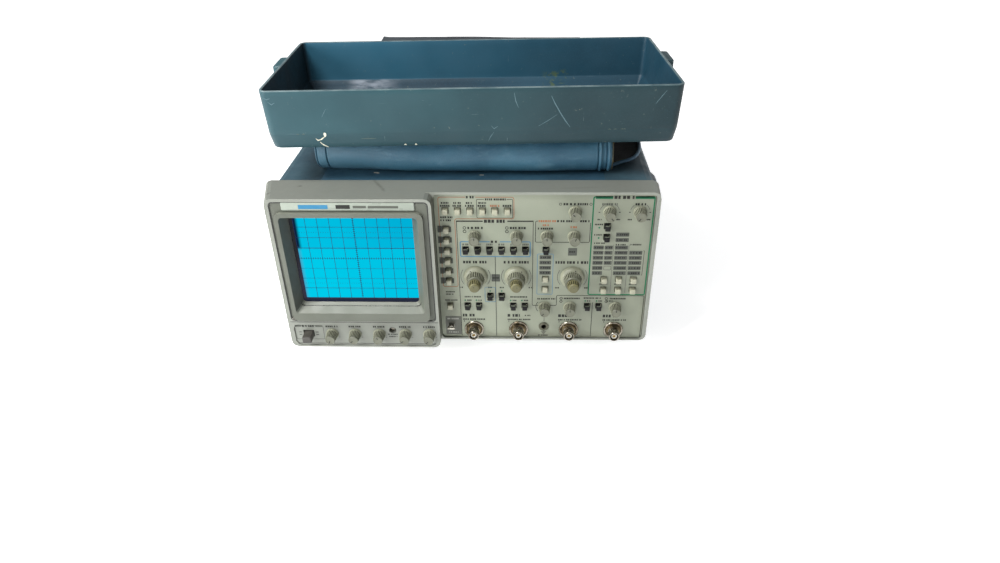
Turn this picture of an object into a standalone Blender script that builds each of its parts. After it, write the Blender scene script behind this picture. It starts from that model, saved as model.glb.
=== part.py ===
"""Portable four-channel oscilloscope with its snap-on front cover and accessory pouch.

Blender 4.5 script. It can be run with: blender --background --python part.py

Lengths are written in millimetres. Three directions are used throughout:
x      sideways from the centre line, positive to the user's right
depth  back from the face of the display module
height up from the bottom edge of the front frame
point() turns them into the part's own frame: metres, +Z up, the user at -Y,
and the origin on the surface that the feet stand on, below the middle of the part.
"""
import math

import bmesh
import bpy
from mathutils import Matrix, Vector

MM = 0.001
GAP = 0.3

# Overall size
FRONTMOST_DEPTH = -10.0
REARMOST_DEPTH = 430.0
FOOT_HEIGHT = 16.0
HANDLE_WIDTH = 359.0

# Front frame: the display module stands forward of the control panel, and the sides flare out
FRAME_WIDTH = 318.0
FRAME_LEFT = (-159.2, -168.6)
FRAME_RIGHT = (160.9, 163.5)
FRAME_HEIGHT = 148.0
FRAME_CORNER = 6.0
FRAME_BACK = 37.0
FRAME_WALL = 3.5
MODULE_RIGHT = -23.7
STRIP_DEPTH = 1.0
STRIP_TOP = 26.0
STRIP_THICKNESS = 4.0

# Control panel
PANEL_RIM_DEPTH = 13.0
PANEL_DEPTH = 15.0
PANEL_THICKNESS = 3.0
PANEL_LEDGE = 3.0
PANEL_HEIGHT = (1.5, 146.0)
PANEL_RIGHT = 158.3

# Display: bezel plate, raised lip, sloping surround, filter and tube
BEZEL_X = (-155.0, -27.0)
BEZEL_HEIGHT = (29.5, 144.5)
LIP_OUTER_X = (-152.0, -31.0)
LIP_OUTER_HEIGHT = (30.0, 136.3)
LIP_INNER_X = (-149.0, -35.1)
LIP_INNER_HEIGHT = (38.5, 132.4)
LIP_DEPTH = -2.5
SCREEN_X = (-143.7, -41.0)
SCREEN_HEIGHT = (44.7, 131.0)
SCREEN_DEPTH = 7.0
TUBE_AXIS = (-90.5, 88.0)
TUBE_NECK_RADIUS = 19.0
TUBE_END = 345.0

# Cabinet and rear
CABINET_HALF_WIDTH = 161.4
CABINET_HEIGHT = (0.8, 146.8)
CABINET_CORNER = 8.0
CABINET_WALL = 1.6
CABINET_END = 399.7
REAR_THICKNESS = 3.0
FAN_AXIS = (88.0, 78.0)
FAN_BORE = 39.0
INLET_CENTRE = (-95.0, 44.0)

# Carrying handle, folded back under the cabinet
HUB_DEPTH = 118.0
HUB_HEIGHT = 83.0
HUB_RADIUS = 34.5
HUB_INNER = 164.6
HUB_OUTER = 177.5
HUB_ROUND = 7.0
BOSS_RADIUS = 18.0
BOSS_END = 167.6
ARM_X = (169.0, 176.5)
ARM_HUB_RADIUS = 22.0
GRIP_DEPTH = 259.0
GRIP_HEIGHT = -8.0
GRIP_WIDTH = 22.0
GRIP_THICKNESS = 13.0
BUTTON_RADIUS = 13.5
BUTTON_TRAVEL = 2.5

# Accessory pouch, fastened on the cabinet's top
POUCH_X = (-127.0, 124.0)
POUCH_DEPTH = (43.0, 386.0)
POUCH_HEIGHT = (147.1, 179.8)
POUCH_ROUND = 16.0
POUCH_WALL = 2.5
FLAP_X = 150.0

# Front cover, resting on the pouch with its open side up
COVER_CENTRE = (6.9, 105.8)
COVER_TURN_DEG = 2.4
COVER_BASE = 180.1
COVER_CREASE = 192.3
COVER_RIM = 228.2
COVER_SIZE_BASE = (324.4, 144.8)
COVER_SIZE_CREASE = (328.4, 148.6)
COVER_SIZE_RIM = (331.4, 151.4)
CATCH_OFFSET = 8.0
COVER_WALL = 2.2
COVER_CORNER = 6.0

# Small controls
KNOB_BASE_RADIUS = 5.8
KNOB_FACE_RADIUS = 4.4
KNOB_LENGTH = 11.0
SHAFT_RADIUS = 2.4
SHAFT_HOLE = 3.6
SLEEVE_RADIUS = 4.3
SLEEVE_HOLE = 5.4
SKIRT_RADIUS = 10.8
KEY_SIZE = 5.0
KEY_CLEARANCE = 0.4
SIDES_FINE = 24
SIDES_SMALL = 12
SIDES_HOLE = 8

# name: (x, height) of each small knob on the display module's lower strip
STRIP_KNOBS = {
    "a_intensity_knob": (-121.0, 14.2),
    "b_intensity_knob": (-100.2, 14.2),
    "focus_knob": (-78.3, 14.2),
    "readout_knob": (-54.8, 14.2),
    "scale_illumination_knob": (-33.2, 14.2),
}
TRIMMER_PLACE = (-66.3, 18.1)
POWER_KEY_PLACE = (-142.4, 14.2)
POWER_KEY_SIZE = (9.0, 6.5)

# name: (x, height) of each small knob on the control panel
CHANNEL_1_X = 9.2
CHANNEL_2_X = 44.6
CHANNEL_3_X = 91.9
CHANNEL_4_X = 132.2
UPPER_ROW = 129.6
SECOND_ROW = 106.8
LOWER_ROW = 35.3
PANEL_KNOBS = {
    "ch1_position_knob": (CHANNEL_1_X, SECOND_ROW),
    "ch2_position_knob": (CHANNEL_2_X, SECOND_ROW),
    "cursor_reference_knob": (70.1, SECOND_ROW),
    "cursor_delta_knob": (92.9, SECOND_ROW),
    "horizontal_position_knob": (92.9, UPPER_ROW),
    "holdoff_knob": (121.0, UPPER_ROW),
    "trigger_level_knob": (145.8, UPPER_ROW),
    "trace_separation_knob": (69.4, LOWER_ROW),
    "ch3_position_knob": (CHANNEL_3_X, LOWER_ROW),
    "ch4_position_knob": (CHANNEL_4_X, LOWER_ROW),
}
# prefix: (x, height) of each pair of concentric knobs
DUAL_ROW = 66.5
DUAL_KNOBS = {
    "ch1_volts": (8.9, DUAL_ROW),
    "ch2_volts": (44.4, DUAL_ROW),
    "time_base": (93.0, DUAL_ROW),
}
# name: (protrusion, (x, height) of each key); the keys of a group share one moulding
COLUMN_STEP = 10.2
MENU_COLUMN_TOP = 113.3
KEY_GROUPS = {
    "menu_row_keys": (4.5, [(-14.4 + 10.3 * i, 130.6) for i in range(6)]),
    "menu_column_keys": (4.5, [(-14.4, MENU_COLUMN_TOP - COLUMN_STEP * i) for i in range(6)]),
    "recall_key": (4.5, [(-14.6, 36.2)]),
    "vertical_mode_keys": (3.0, [(1.2 + 10.2 * i, 93.8) for i in range(6)]),
    "channel_keys": (3.0, [(0.9, 36.4), (11.1, 36.4), (21.3, 46.8),
                           (31.5, 46.8), (41.7, 36.4), (51.9, 36.4)]),
    "horizontal_keys": (3.0, [(69.6, 93.8), (69.6, 64.6), (69.6, 54.2)]),
    "trigger_select_keys": (3.0, [(120.2, 116.4), (120.2, 106.2)]),
    "trigger_setting_keys": (4.5, [(120.4 + 12.7 * i, h) for i in range(3) for h in (64.4, 53.8)]),
    "ch3_ch4_range_keys": (3.0, [(107.4, 36.4), (117.6, 36.4)]),
}
CONNECTOR_HEIGHT = 10.4
CONNECTORS = {
    "ch1_input": (6.0, CONNECTOR_HEIGHT),
    "ch2_input": (46.4, CONNECTOR_HEIGHT),
    "ch3_input": (91.8, CONNECTOR_HEIGHT),
    "ch4_input": (132.2, CONNECTOR_HEIGHT),
}
GROUND_PLACE = (69.2, 13.6)
PROBE_ADJUST_PLACE = (-14.6, 15.0)

# Colours, linear RGB
FRAME_GREY = (0.36, 0.38, 0.33)
PANEL_GREY = (0.42, 0.44, 0.36)
KNOB_GREY = (0.33, 0.34, 0.29)
KHAKI = (0.36, 0.34, 0.17)
KEY_WHITE = (0.62, 0.61, 0.50)
KEY_DARK = (0.05, 0.05, 0.05)
CABINET_BLUE = (0.035, 0.075, 0.10)
COVER_BLUE = (0.05, 0.14, 0.18)
POUCH_BLUE = (0.05, 0.12, 0.20)
NICKEL = (0.60, 0.57, 0.52)
STEEL = (0.55, 0.55, 0.55)
BOARD_GREEN = (0.03, 0.16, 0.06)
GLASS_BLUE = (0.0, 0.45, 0.75)
BLACK = (0.02, 0.02, 0.02)


def point(x, depth, height):
    """A place in millimetres, as a vector in the part's frame."""
    middle = (FRONTMOST_DEPTH + REARMOST_DEPTH) / 2
    return Vector((x, depth - middle, height + FOOT_HEIGHT)) * MM


# ---------------------------------------------------------------- mesh helpers

def clear_scene():
    for existing in list(bpy.data.objects):
        bpy.data.objects.remove(existing, do_unlink=True)


def paint(piece, colour, roughness, metallic=0.0):
    """Give the piece a material of its own."""
    material = bpy.data.materials.new(piece.name + "_finish")
    material.use_nodes = True
    shader = material.node_tree.nodes["Principled BSDF"]
    shader.inputs["Base Color"].default_value = (*colour, 1.0)
    shader.inputs["Roughness"].default_value = roughness
    shader.inputs["Metallic"].default_value = metallic
    piece.data.materials.clear()
    piece.data.materials.append(material)
    return piece


def make_object(name, rings, closed_profile=False):
    """A closed body from rings of points; a ring of one point is a pole.

    Neighbouring rings are joined by faces. The end rings are filled, or joined to
    each other if closed_profile is true.
    """
    shape = bmesh.new()
    vertex_rings = [[shape.verts.new(p) for p in ring] for ring in rings]
    pairs = list(zip(vertex_rings, vertex_rings[1:]))
    if closed_profile:
        pairs.append((vertex_rings[-1], vertex_rings[0]))
    else:
        for ring in (vertex_rings[0], vertex_rings[-1]):
            if len(ring) > 2:
                shape.faces.new(ring)
    for first, second in pairs:
        bridge(shape, first, second)
    bmesh.ops.recalc_face_normals(shape, faces=shape.faces)
    mesh = bpy.data.meshes.new(name)
    shape.to_mesh(mesh)
    shape.free()
    piece = bpy.data.objects.new(name, mesh)
    bpy.context.collection.objects.link(piece)
    return piece


def bridge(shape, first, second):
    """Faces between two rings with the same number of points, or a ring and a pole."""
    count = max(len(first), len(second))
    for i in range(count):
        j = (i + 1) % count
        if len(first) == 1:
            shape.faces.new((first[0], second[i], second[j]))
        elif len(second) == 1:
            shape.faces.new((first[i], first[j], second[0]))
        else:
            shape.faces.new((first[i], first[j], second[j], second[i]))


def rounded_outline(x_range, height_range, radius, steps=3):
    """(x, height) points round a rectangle with rounded corners."""
    (x0, x1), (h0, h1) = x_range, height_range
    centres = [(x1 - radius, h0 + radius, -90), (x1 - radius, h1 - radius, 0),
               (x0 + radius, h1 - radius, 90), (x0 + radius, h0 + radius, 180)]
    outline = []
    for cx, ch, start in centres:
        for step in range(steps + 1):
            angle = math.radians(start + 90 * step / steps)
            outline.append((cx + radius * math.cos(angle), ch + radius * math.sin(angle)))
    return outline


def loft(name, sections):
    """A body through outlines, each given as (depth, [(x, height), ...])."""
    rings = [[point(x, depth, h) for x, h in outline] for depth, outline in sections]
    return make_object(name, rings)


def prism(name, outline, depth_range):
    return loft(name, [(depth_range[0], outline), (depth_range[1], outline)])


def box(name, x_range, depth_range, height_range):
    (x0, x1), (h0, h1) = x_range, height_range
    return prism(name, [(x0, h0), (x1, h0), (x1, h1), (x0, h1)], depth_range)


def turned(name, place, profile, sides=SIDES_SMALL, closed_profile=False):
    """Turn (radius, depth) points round an axis that runs from front to back."""
    x, height = place
    rings = []
    for radius, depth in profile:
        if radius == 0:
            rings.append([point(x, depth, height)])
            continue
        ring = []
        for i in range(sides):
            angle = 2 * math.pi * (i + 0.5) / sides
            ring.append(point(x + radius * math.cos(angle), depth, height + radius * math.sin(angle)))
        rings.append(ring)
    return make_object(name, rings, closed_profile)


def turned_sideways(name, depth, height, profile, sides=SIDES_FINE):
    """Turn (radius, x) points round an axis that runs from left to right."""
    rings = []
    for radius, x in profile:
        if radius == 0:
            rings.append([point(x, depth, height)])
            continue
        ring = []
        for i in range(sides):
            angle = 2 * math.pi * (i + 0.5) / sides
            ring.append(point(x, depth + radius * math.cos(angle), height + radius * math.sin(angle)))
        rings.append(ring)
    return make_object(name, rings)


def combine(piece, operation, tools):
    """Cut the tools from the piece, or join them to it, and delete them."""
    for tool in tools:
        modifier = piece.modifiers.new("combine", "BOOLEAN")
        modifier.operation = operation
        modifier.solver = "EXACT"
        modifier.object = tool
        bpy.context.view_layer.update()
        graph = bpy.context.evaluated_depsgraph_get()
        mesh = bpy.data.meshes.new_from_object(piece.evaluated_get(graph))
        piece.modifiers.clear()
        piece.data = mesh
        bpy.data.objects.remove(tool, do_unlink=True)
    return piece


def cut(piece, *tools):
    return combine(piece, "DIFFERENCE", tools)


def join(piece, *tools):
    return combine(piece, "UNION", tools)


def set_origin(piece, place):
    """Move the object's origin to a place, leaving its shape where it is."""
    piece.data.transform(Matrix.Translation(-place))
    piece.location = place
    return piece


def smooth(piece, angle_deg=35):
    piece.data.shade_smooth()
    piece.data.set_sharp_from_angle(angle=math.radians(angle_deg))
    return piece


# ------------------------------------------------------------------ the front

def frame_sides(depth):
    """Where the frame's left and right sides are at a depth; both spread towards the back."""
    share = depth / FRAME_BACK
    return tuple(front + (back - front) * share for front, back in (FRAME_LEFT, FRAME_RIGHT))


def front_frame():
    half = FRAME_WIDTH / 2
    frame_levels = []
    for depth in (PANEL_RIM_DEPTH, FRAME_BACK):
        outline = rounded_outline(frame_sides(depth), (0, FRAME_HEIGHT), FRAME_CORNER)
        frame_levels.append((depth, outline))
    frame = loft("front_frame", frame_levels)
    module_levels = []
    for depth in (0, PANEL_DEPTH + 10):
        sides = (frame_sides(depth)[0], MODULE_RIGHT)
        module_levels.append((depth, rounded_outline(sides, (0, FRAME_HEIGHT), FRAME_CORNER)))
    join(frame, loft("module", module_levels))

    recess = rounded_outline((BEZEL_X[0] - GAP, BEZEL_X[1] + GAP),
                             (BEZEL_HEIGHT[0] - GAP, BEZEL_HEIGHT[1] + GAP), 4, 2)
    window = rounded_outline((BEZEL_X[0] + 4, BEZEL_X[1] - 4),
                             (BEZEL_HEIGHT[0] + 3, BEZEL_HEIGHT[1] - 4), 4, 2)
    strip = rounded_outline((BEZEL_X[0], BEZEL_X[1]), (1.5, STRIP_TOP - 0.7), 5, 2)
    hollow_front = STRIP_DEPTH + STRIP_THICKNESS
    cut(frame,
        prism("recess", recess, (-2, 4)),
        prism("window", window, (-2, 20)),
        prism("strip", strip, (-2, STRIP_DEPTH)),
        box("hollow", (-half + FRAME_WALL, MODULE_RIGHT - FRAME_WALL),
            (hollow_front, FRAME_BACK + 1), (FRAME_WALL, FRAME_HEIGHT - FRAME_WALL)))

    opening = rounded_outline((MODULE_RIGHT, PANEL_RIGHT), PANEL_HEIGHT, 3, 2)
    behind = ((MODULE_RIGHT + PANEL_LEDGE, PANEL_RIGHT - PANEL_LEDGE),
              (3.4, PANEL_HEIGHT[1] - PANEL_LEDGE))
    cut(frame,
        prism("opening", opening, (PANEL_RIM_DEPTH - 2, PANEL_DEPTH + PANEL_THICKNESS + GAP)),
        box("behind", behind[0], (PANEL_DEPTH, FRAME_BACK + 1), behind[1]))

    for place in STRIP_KNOBS.values():
        cut(frame, turned("hole", place, [(0, -2), (SHAFT_HOLE, -2), (SHAFT_HOLE, 8), (0, 8)], SIDES_HOLE))
    cut(frame, turned("hole", TRIMMER_PLACE, [(0, -2), (3.0, -2), (3.0, 8), (0, 8)], SIDES_SMALL))
    x, height = POWER_KEY_PLACE
    half_w, half_h = (side / 2 + KEY_CLEARANCE for side in POWER_KEY_SIZE)
    cut(frame, box("key_hole", (x - half_w, x + half_w), (-2, 8), (height - half_h, height + half_h)))
    return paint(frame, FRAME_GREY, 0.5)


def control_panel():
    outline = rounded_outline((MODULE_RIGHT + GAP, PANEL_RIGHT - GAP),
                              (PANEL_HEIGHT[0] + GAP, PANEL_HEIGHT[1] - GAP), 3, 2)
    back = PANEL_DEPTH + PANEL_THICKNESS
    panel = prism("control_panel", outline, (PANEL_DEPTH, back))
    front, behind = PANEL_DEPTH - 1, back + 1
    for place in PANEL_KNOBS.values():
        cut(panel, turned("hole", place, [(0, front), (SHAFT_HOLE, front), (SHAFT_HOLE, behind),
                                          (0, behind)], SIDES_HOLE))
    for place in DUAL_KNOBS.values():
        cut(panel, turned("hole", place, [(0, front), (SLEEVE_HOLE, front), (SLEEVE_HOLE, behind),
                                          (0, behind)], SIDES_HOLE))
    for place in CONNECTORS.values():
        cut(panel, turned("hole", place, [(0, front), (5.9, front), (5.9, behind), (0, behind)]))
    cut(panel, turned("hole", GROUND_PLACE, [(0, front), (4.0, front), (4.0, behind), (0, behind)]))
    half_key = KEY_SIZE / 2 + KEY_CLEARANCE
    for _, places in KEY_GROUPS.values():
        for x, height in places:
            cut(panel, box("key_hole", (x - half_key, x + half_key), (front, behind),
                           (height - half_key, height + half_key)))
    x, height = PROBE_ADJUST_PLACE
    cut(panel, box("tab_hole", (x - 2.9, x + 2.9), (front, behind), (height - 0.9, height + 0.9)))
    return paint(panel, PANEL_GREY, 0.55)


def crt_bezel():
    """Plate with a raised lip and walls that slope in to the screen."""
    plate = rounded_outline(BEZEL_X, BEZEL_HEIGHT, 4, 2)
    lip = rounded_outline(LIP_OUTER_X, LIP_OUTER_HEIGHT, 5, 3)
    mouth = rounded_outline(LIP_INNER_X, LIP_INNER_HEIGHT, 3, 3)
    screen = rounded_outline(SCREEN_X, SCREEN_HEIGHT, 3, 3)
    skirt = rounded_outline((SCREEN_X[0] - 2, SCREEN_X[1] + 2),
                            (SCREEN_HEIGHT[0] - 2, SCREEN_HEIGHT[1] + 2), 4, 3)
    bezel = prism("crt_bezel", plate, (0.6, 3.6))
    join(bezel, prism("lip", lip, (LIP_DEPTH, 1.5)))
    join(bezel, prism("skirt", skirt, (3, SCREEN_DEPTH)))
    slope = (SCREEN_DEPTH - LIP_DEPTH) / 6

    def widened(steps_out):
        return [(mx + (mx - sx) * steps_out, mh + (mh - sh) * steps_out)
                for (mx, mh), (sx, sh) in zip(mouth, screen)]

    cut(bezel, loft("funnel", [(LIP_DEPTH - slope, widened(1 / 6)), (SCREEN_DEPTH, screen),
                               (SCREEN_DEPTH + 1, screen)]))
    return paint(bezel, FRAME_GREY, 0.5)


def screen_filter():
    outline = rounded_outline((SCREEN_X[0] - 3.5, SCREEN_X[1] + 3.5),
                              (SCREEN_HEIGHT[0] - 3, SCREEN_HEIGHT[1] + 3), 3, 2)
    return paint(prism("screen_filter", outline, (SCREEN_DEPTH + GAP, SCREEN_DEPTH + 1.5)),
                 GLASS_BLUE, 0.1)


def tube_outline(half_x, half_height, squareness):
    """A 24-point outline between a circle (0) and a rectangle (1) about the tube's axis."""
    cx, ch = TUBE_AXIS
    outline = []
    for i in range(SIDES_FINE):
        angle = 2 * math.pi * i / SIDES_FINE
        c, s = math.cos(angle), math.sin(angle)
        stretch = 1 / max(abs(c), abs(s)) * squareness + 1 - squareness
        outline.append((cx + half_x * c * stretch, ch + half_height * s * stretch))
    return outline


TUBE_SECTIONS = [(10.0, 50.0, 41.0, 0.85), (24.0, 51.0, 42.0, 0.85), (110.0, 26.0, 24.0, 0.2),
                 (130.0, TUBE_NECK_RADIUS, TUBE_NECK_RADIUS, 0.0)]


def crt_tube():
    """Glass envelope, hollow, and open at the base where the neck ends."""
    outer = [(d, tube_outline(hx, hh, sq)) for d, hx, hh, sq in TUBE_SECTIONS]
    outer.append((TUBE_END, tube_outline(TUBE_NECK_RADIUS, TUBE_NECK_RADIUS, 0.0)))
    inner = [(d + 4, tube_outline(hx - 3, hh - 3, sq)) for d, hx, hh, sq in TUBE_SECTIONS]
    inner.append((TUBE_END + 2, tube_outline(TUBE_NECK_RADIUS - 3, TUBE_NECK_RADIUS - 3, 0.0)))
    tube = cut(loft("crt_tube", outer), loft("vacuum", inner))
    return smooth(paint(tube, (0.2, 0.3, 0.3), 0.15))


def crt_shield():
    """Sheet-metal shield round the tube's flare and neck, open at both ends."""
    start = 46.0
    outer = [(start, tube_outline(50, 44, 0.6)), (120, tube_outline(32, 30, 0.2)),
             (300, tube_outline(27, 27, 0))]
    inner = [(start - 1, tube_outline(49, 43, 0.6)), (120, tube_outline(31, 29, 0.2)),
             (301, tube_outline(26, 26, 0))]
    shield = cut(loft("crt_shield", outer), loft("bore", inner))
    return smooth(paint(shield, STEEL, 0.35, 0.9))


# ------------------------------------------------------------ cabinet and inside

def cabinet():
    """Wrap-round sheet cover with a boss on each side for the handle."""
    half, wall = CABINET_HALF_WIDTH, CABINET_WALL
    h0, h1 = CABINET_HEIGHT
    outer = rounded_outline((-half, half), (h0, h1), CABINET_CORNER)
    inner = rounded_outline((-half + wall, half - wall), (h0 + wall, h1 - wall), CABINET_CORNER - wall)
    shell = prism("cabinet", outer, (FRAME_BACK + GAP, CABINET_END))
    cut(shell, prism("inside", inner, (FRAME_BACK - 5, CABINET_END + 5)))
    for side in (-1, 1):
        boss = turned_sideways("boss", HUB_DEPTH, HUB_HEIGHT,
                               [(0, side * (half - 1)), (BOSS_RADIUS, side * (half - 1)),
                                (BOSS_RADIUS, side * BOSS_END), (0, side * BOSS_END)])
        join(shell, boss)
    return smooth(paint(shell, CABINET_BLUE, 0.5))


def rear_panel():
    """Rear plate with four cord-wrap posts, the fan's shroud and a motor mount."""
    half = CABINET_HALF_WIDTH
    start = CABINET_END + GAP
    back = start + REAR_THICKNESS
    plate = prism("rear_panel", rounded_outline((-half, half), CABINET_HEIGHT, CABINET_CORNER),
                  (start, back))
    for x_side in (-1, 1):
        for h_side in (0, 1):
            x_low = x_side * (half - 13) - 13
            h_low = CABINET_HEIGHT[h_side] - 24 * h_side
            post = rounded_outline((x_low, x_low + 26), (h_low, h_low + 24), CABINET_CORNER, 2)
            head = rounded_outline((x_low, x_low + 26), (h_low, h_low + 24), CABINET_CORNER - 1, 2)
            join(plate, loft("post", [(back - 1, post), (REARMOST_DEPTH - 2, post),
                                      (REARMOST_DEPTH, head)]))
    shroud = turned("shroud", FAN_AXIS, [(0, 384), (FAN_BORE + 3, 384), (FAN_BORE + 3, start + 1),
                                         (0, start + 1)], SIDES_FINE)
    bore = turned("bore", FAN_AXIS, [(0, 380), (FAN_BORE, 380), (FAN_BORE, back + 1), (0, back + 1)],
                  SIDES_FINE)
    cut(join(plate, shroud), bore)
    mount = turned("mount", FAN_AXIS, [(0, back - 2), (13, back - 2), (13, back), (0, back)])
    x, height = FAN_AXIS
    reach = FAN_BORE + 2
    join(plate, mount,
         box("strut", (x - reach, x + reach), (back - 1.6, back - 0.2), (height - 2, height + 2)),
         box("strut", (x - 2, x + 2), (back - 1.4, back - 0.4), (height - reach, height + reach)))
    ix, ih = INLET_CENTRE
    cut(plate, box("inlet_hole", (ix - 14, ix + 14), (start - 1, back + 1), (ih - 10.5, ih + 10.5)))
    return paint(plate, CABINET_BLUE, 0.6)


def fan_rotor():
    """Hub with five pitched blades."""
    x, height = FAN_AXIS
    rotor = turned("fan_rotor", FAN_AXIS, [(0, 387), (13, 387), (13, 398.5), (0, 398.5)], 20)
    centre = point(x, 393, height)
    for i in range(5):
        blade = box("blade", (x + 11, x + 36), (392.2, 393.8), (height - 7, height + 7))
        pitch = Matrix.Rotation(math.radians(22), 4, "X")
        turn = Matrix.Rotation(math.radians(72 * i), 4, "Y")
        blade.data.transform(Matrix.Translation(-centre))
        blade.data.transform(Matrix.Translation(centre) @ turn @ pitch)
        join(rotor, blade)
    return set_origin(paint(rotor, BLACK, 0.5), centre)


def power_inlet():
    """Three-pin mains inlet: a socket with its pins, and a fuse drawer's face above it."""
    ix, ih = INLET_CENTRE
    back = CABINET_END + GAP + REAR_THICKNESS + GAP
    inlet = box("power_inlet", (ix - 13.5, ix + 13.5), (378, back + 1), (ih - 10, ih + 10))
    join(inlet, box("flange", (ix - 17, ix + 17), (back, back + 2.2), (ih - 13, ih + 13)))
    cut(inlet, box("socket", (ix - 11.5, ix + 11.5), (386, back + 4), (ih - 8, ih + 8)))
    for dx, dh in ((-7, -2), (7, -2), (0, 3)):
        join(inlet, box("pin", (ix + dx - 1, ix + dx + 1), (385, 396), (ih + dh - 2, ih + dh + 2)))
    return paint(inlet, BLACK, 0.45)


def chassis():
    """Sheet-metal deck with an upright wall between the display tube and the boards."""
    deck = box("chassis", (-152, 152), (44, 396), (8, 9.6))
    join(deck, box("wall", (-24, -22.4), (44, 378), (9, 134)),
         box("front_flange", (-22.8, 20), (60, 61.6), (9, 30)))
    return paint(deck, STEEL, 0.4, 0.9)


def main_board():
    """Circuit board with a few large components, on the right of the chassis."""
    bottom, top = 18.0, 19.6
    board = box("main_board", (-18, 148), (64, 300), (bottom, top))
    transformer = ((0, 30), (90, 120), 9)
    long_chip = ((50, 66), (100, 150), 6)
    capacitor_pair = ((90, 120), (90, 118), 14)
    relay_row = ((10, 26), (170, 240), 7)
    screened_stage = ((60, 100), (190, 230), 5)
    heat_sink = ((120, 134), (180, 250), 12)
    for x_range, depth_range, tall in (transformer, long_chip, capacitor_pair, relay_row,
                                       screened_stage, heat_sink):
        join(board, box("component", x_range, depth_range, (top - 0.6, top + tall)))
    return paint(board, BOARD_GREEN, 0.4)


def power_supply():
    """Screened supply unit, a thin case open at the bottom, behind the board."""
    x_range, depth_range, h_range = (-16, 40), (306, 376), (14, 110)
    case = box("power_supply", x_range, depth_range, h_range)
    cut(case, box("inside", (x_range[0] + 1.5, x_range[1] - 1.5),
                  (depth_range[0] + 1.5, depth_range[1] - 1.5), (h_range[0] - 2, h_range[1] - 1.5)))
    return paint(case, STEEL, 0.35, 0.9)


# -------------------------------------------------------------- small controls

def small_knob(name, place, panel_depth, length=KNOB_LENGTH):
    """Tapered knob on a shaft that passes through the panel."""
    base = panel_depth - GAP
    face = panel_depth - length
    knob = turned(name, place, [(0, face), (KNOB_FACE_RADIUS, face), (KNOB_BASE_RADIUS, base),
                                (SHAFT_RADIUS, base), (SHAFT_RADIUS, base + 12), (0, base + 12)])
    return set_origin(smooth(paint(knob, KNOB_GREY, 0.5)), point(place[0], base, place[1]))


def skirted_knob(name, place):
    """Outer knob of a concentric pair, on a hollow sleeve."""
    base = PANEL_DEPTH - GAP
    bore = SHAFT_RADIUS + 0.5
    profile = [(SKIRT_RADIUS, base), (SKIRT_RADIUS - 0.6, base - 4), (8.6, base - 5.5),
               (7.0, base - 12.6), (bore, base - 12.6), (bore, base + 12),
               (SLEEVE_RADIUS, base + 12), (SLEEVE_RADIUS, base)]
    knob = turned(name, place, profile, 16, closed_profile=True)
    return set_origin(smooth(paint(knob, KNOB_GREY, 0.5)), point(place[0], base, place[1]))


def inner_knob(name, place):
    """Inner knob of a concentric pair, on a shaft through the outer one's sleeve."""
    base = PANEL_DEPTH - GAP
    start = base - 12.6 - 0.4
    face = PANEL_DEPTH - 20
    profile = [(0, face), (4.1, face), (5.9, start), (SHAFT_RADIUS, start),
               (SHAFT_RADIUS, base + 16), (0, base + 16)]
    knob = turned(name, place, profile)
    return set_origin(smooth(paint(knob, KHAKI, 0.5)), point(place[0], base, place[1]))


def key_group(name, protrusion, places):
    """Square keys on stems that share one carrier plate behind the panel."""
    xs = [x for x, _ in places]
    heights = [h for _, h in places]
    half = KEY_SIZE / 2
    carrier_front = PANEL_DEPTH + PANEL_THICKNESS + 2.5
    carrier = box(name, (min(xs) - half - 0.5, max(xs) + half + 0.5),
                  (carrier_front, carrier_front + 2),
                  (min(heights) - half - 0.5, max(heights) + half + 0.5))
    for x, height in places:
        front = PANEL_DEPTH - protrusion
        join(carrier, box("key", (x - half, x + half), (front, carrier_front + 1),
                          (height - half, height + half)))
    dark = protrusion < 4
    paint(carrier, KEY_DARK if dark else KEY_WHITE, 0.45)
    return set_origin(carrier, point(xs[0], PANEL_DEPTH, heights[0]))


def power_key():
    x, height = POWER_KEY_PLACE
    half_w, half_h = (side / 2 for side in POWER_KEY_SIZE)
    front = FRONTMOST_DEPTH
    key = box("power_key", (x - half_w, x + half_w), (front, 14), (height - half_h, height + half_h))
    join(key, box("stop", (x - half_w - 2, x + half_w + 2), (10, 12), (height - half_h, height + half_h)))
    return set_origin(paint(key, (0.08, 0.08, 0.07), 0.45), point(x, STRIP_DEPTH, height))


def trace_trimmer():
    """Screwdriver adjuster set back in its hole."""
    trimmer = turned("trace_rotation_trimmer", TRIMMER_PLACE,
                     [(0, 4), (2.5, 4), (2.5, 16), (0, 16)])
    return set_origin(smooth(paint(trimmer, NICKEL, 0.4, 0.9)), point(TRIMMER_PLACE[0], 4, TRIMMER_PLACE[1]))


def bayonet_connector(name, place):
    """Panel socket: hollow barrel with its centre contact, and a round flange."""
    p = PANEL_DEPTH
    profile = [(0, p - 8), (1.3, p - 8), (1.3, p - 2.5), (4.0, p - 2.5), (4.0, p - 11.5),
               (4.85, p - 11.5), (4.85, p - 2), (8.5, p - 1.5), (8.5, p - GAP), (5.5, p - GAP),
               (5.5, p + 14), (0, p + 14)]
    return smooth(paint(turned(name, place, profile, 16), NICKEL, 0.3, 1.0))


def ground_jack():
    p = PANEL_DEPTH
    profile = [(0, p + 10), (2.3, p + 10), (2.3, p - 0.9), (4.6, p - 0.6), (4.6, p - GAP),
               (3.6, p - GAP), (3.6, p + 13), (0, p + 13)]
    return smooth(paint(turned("ground_jack", GROUND_PLACE, profile), NICKEL, 0.35, 1.0))


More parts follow.
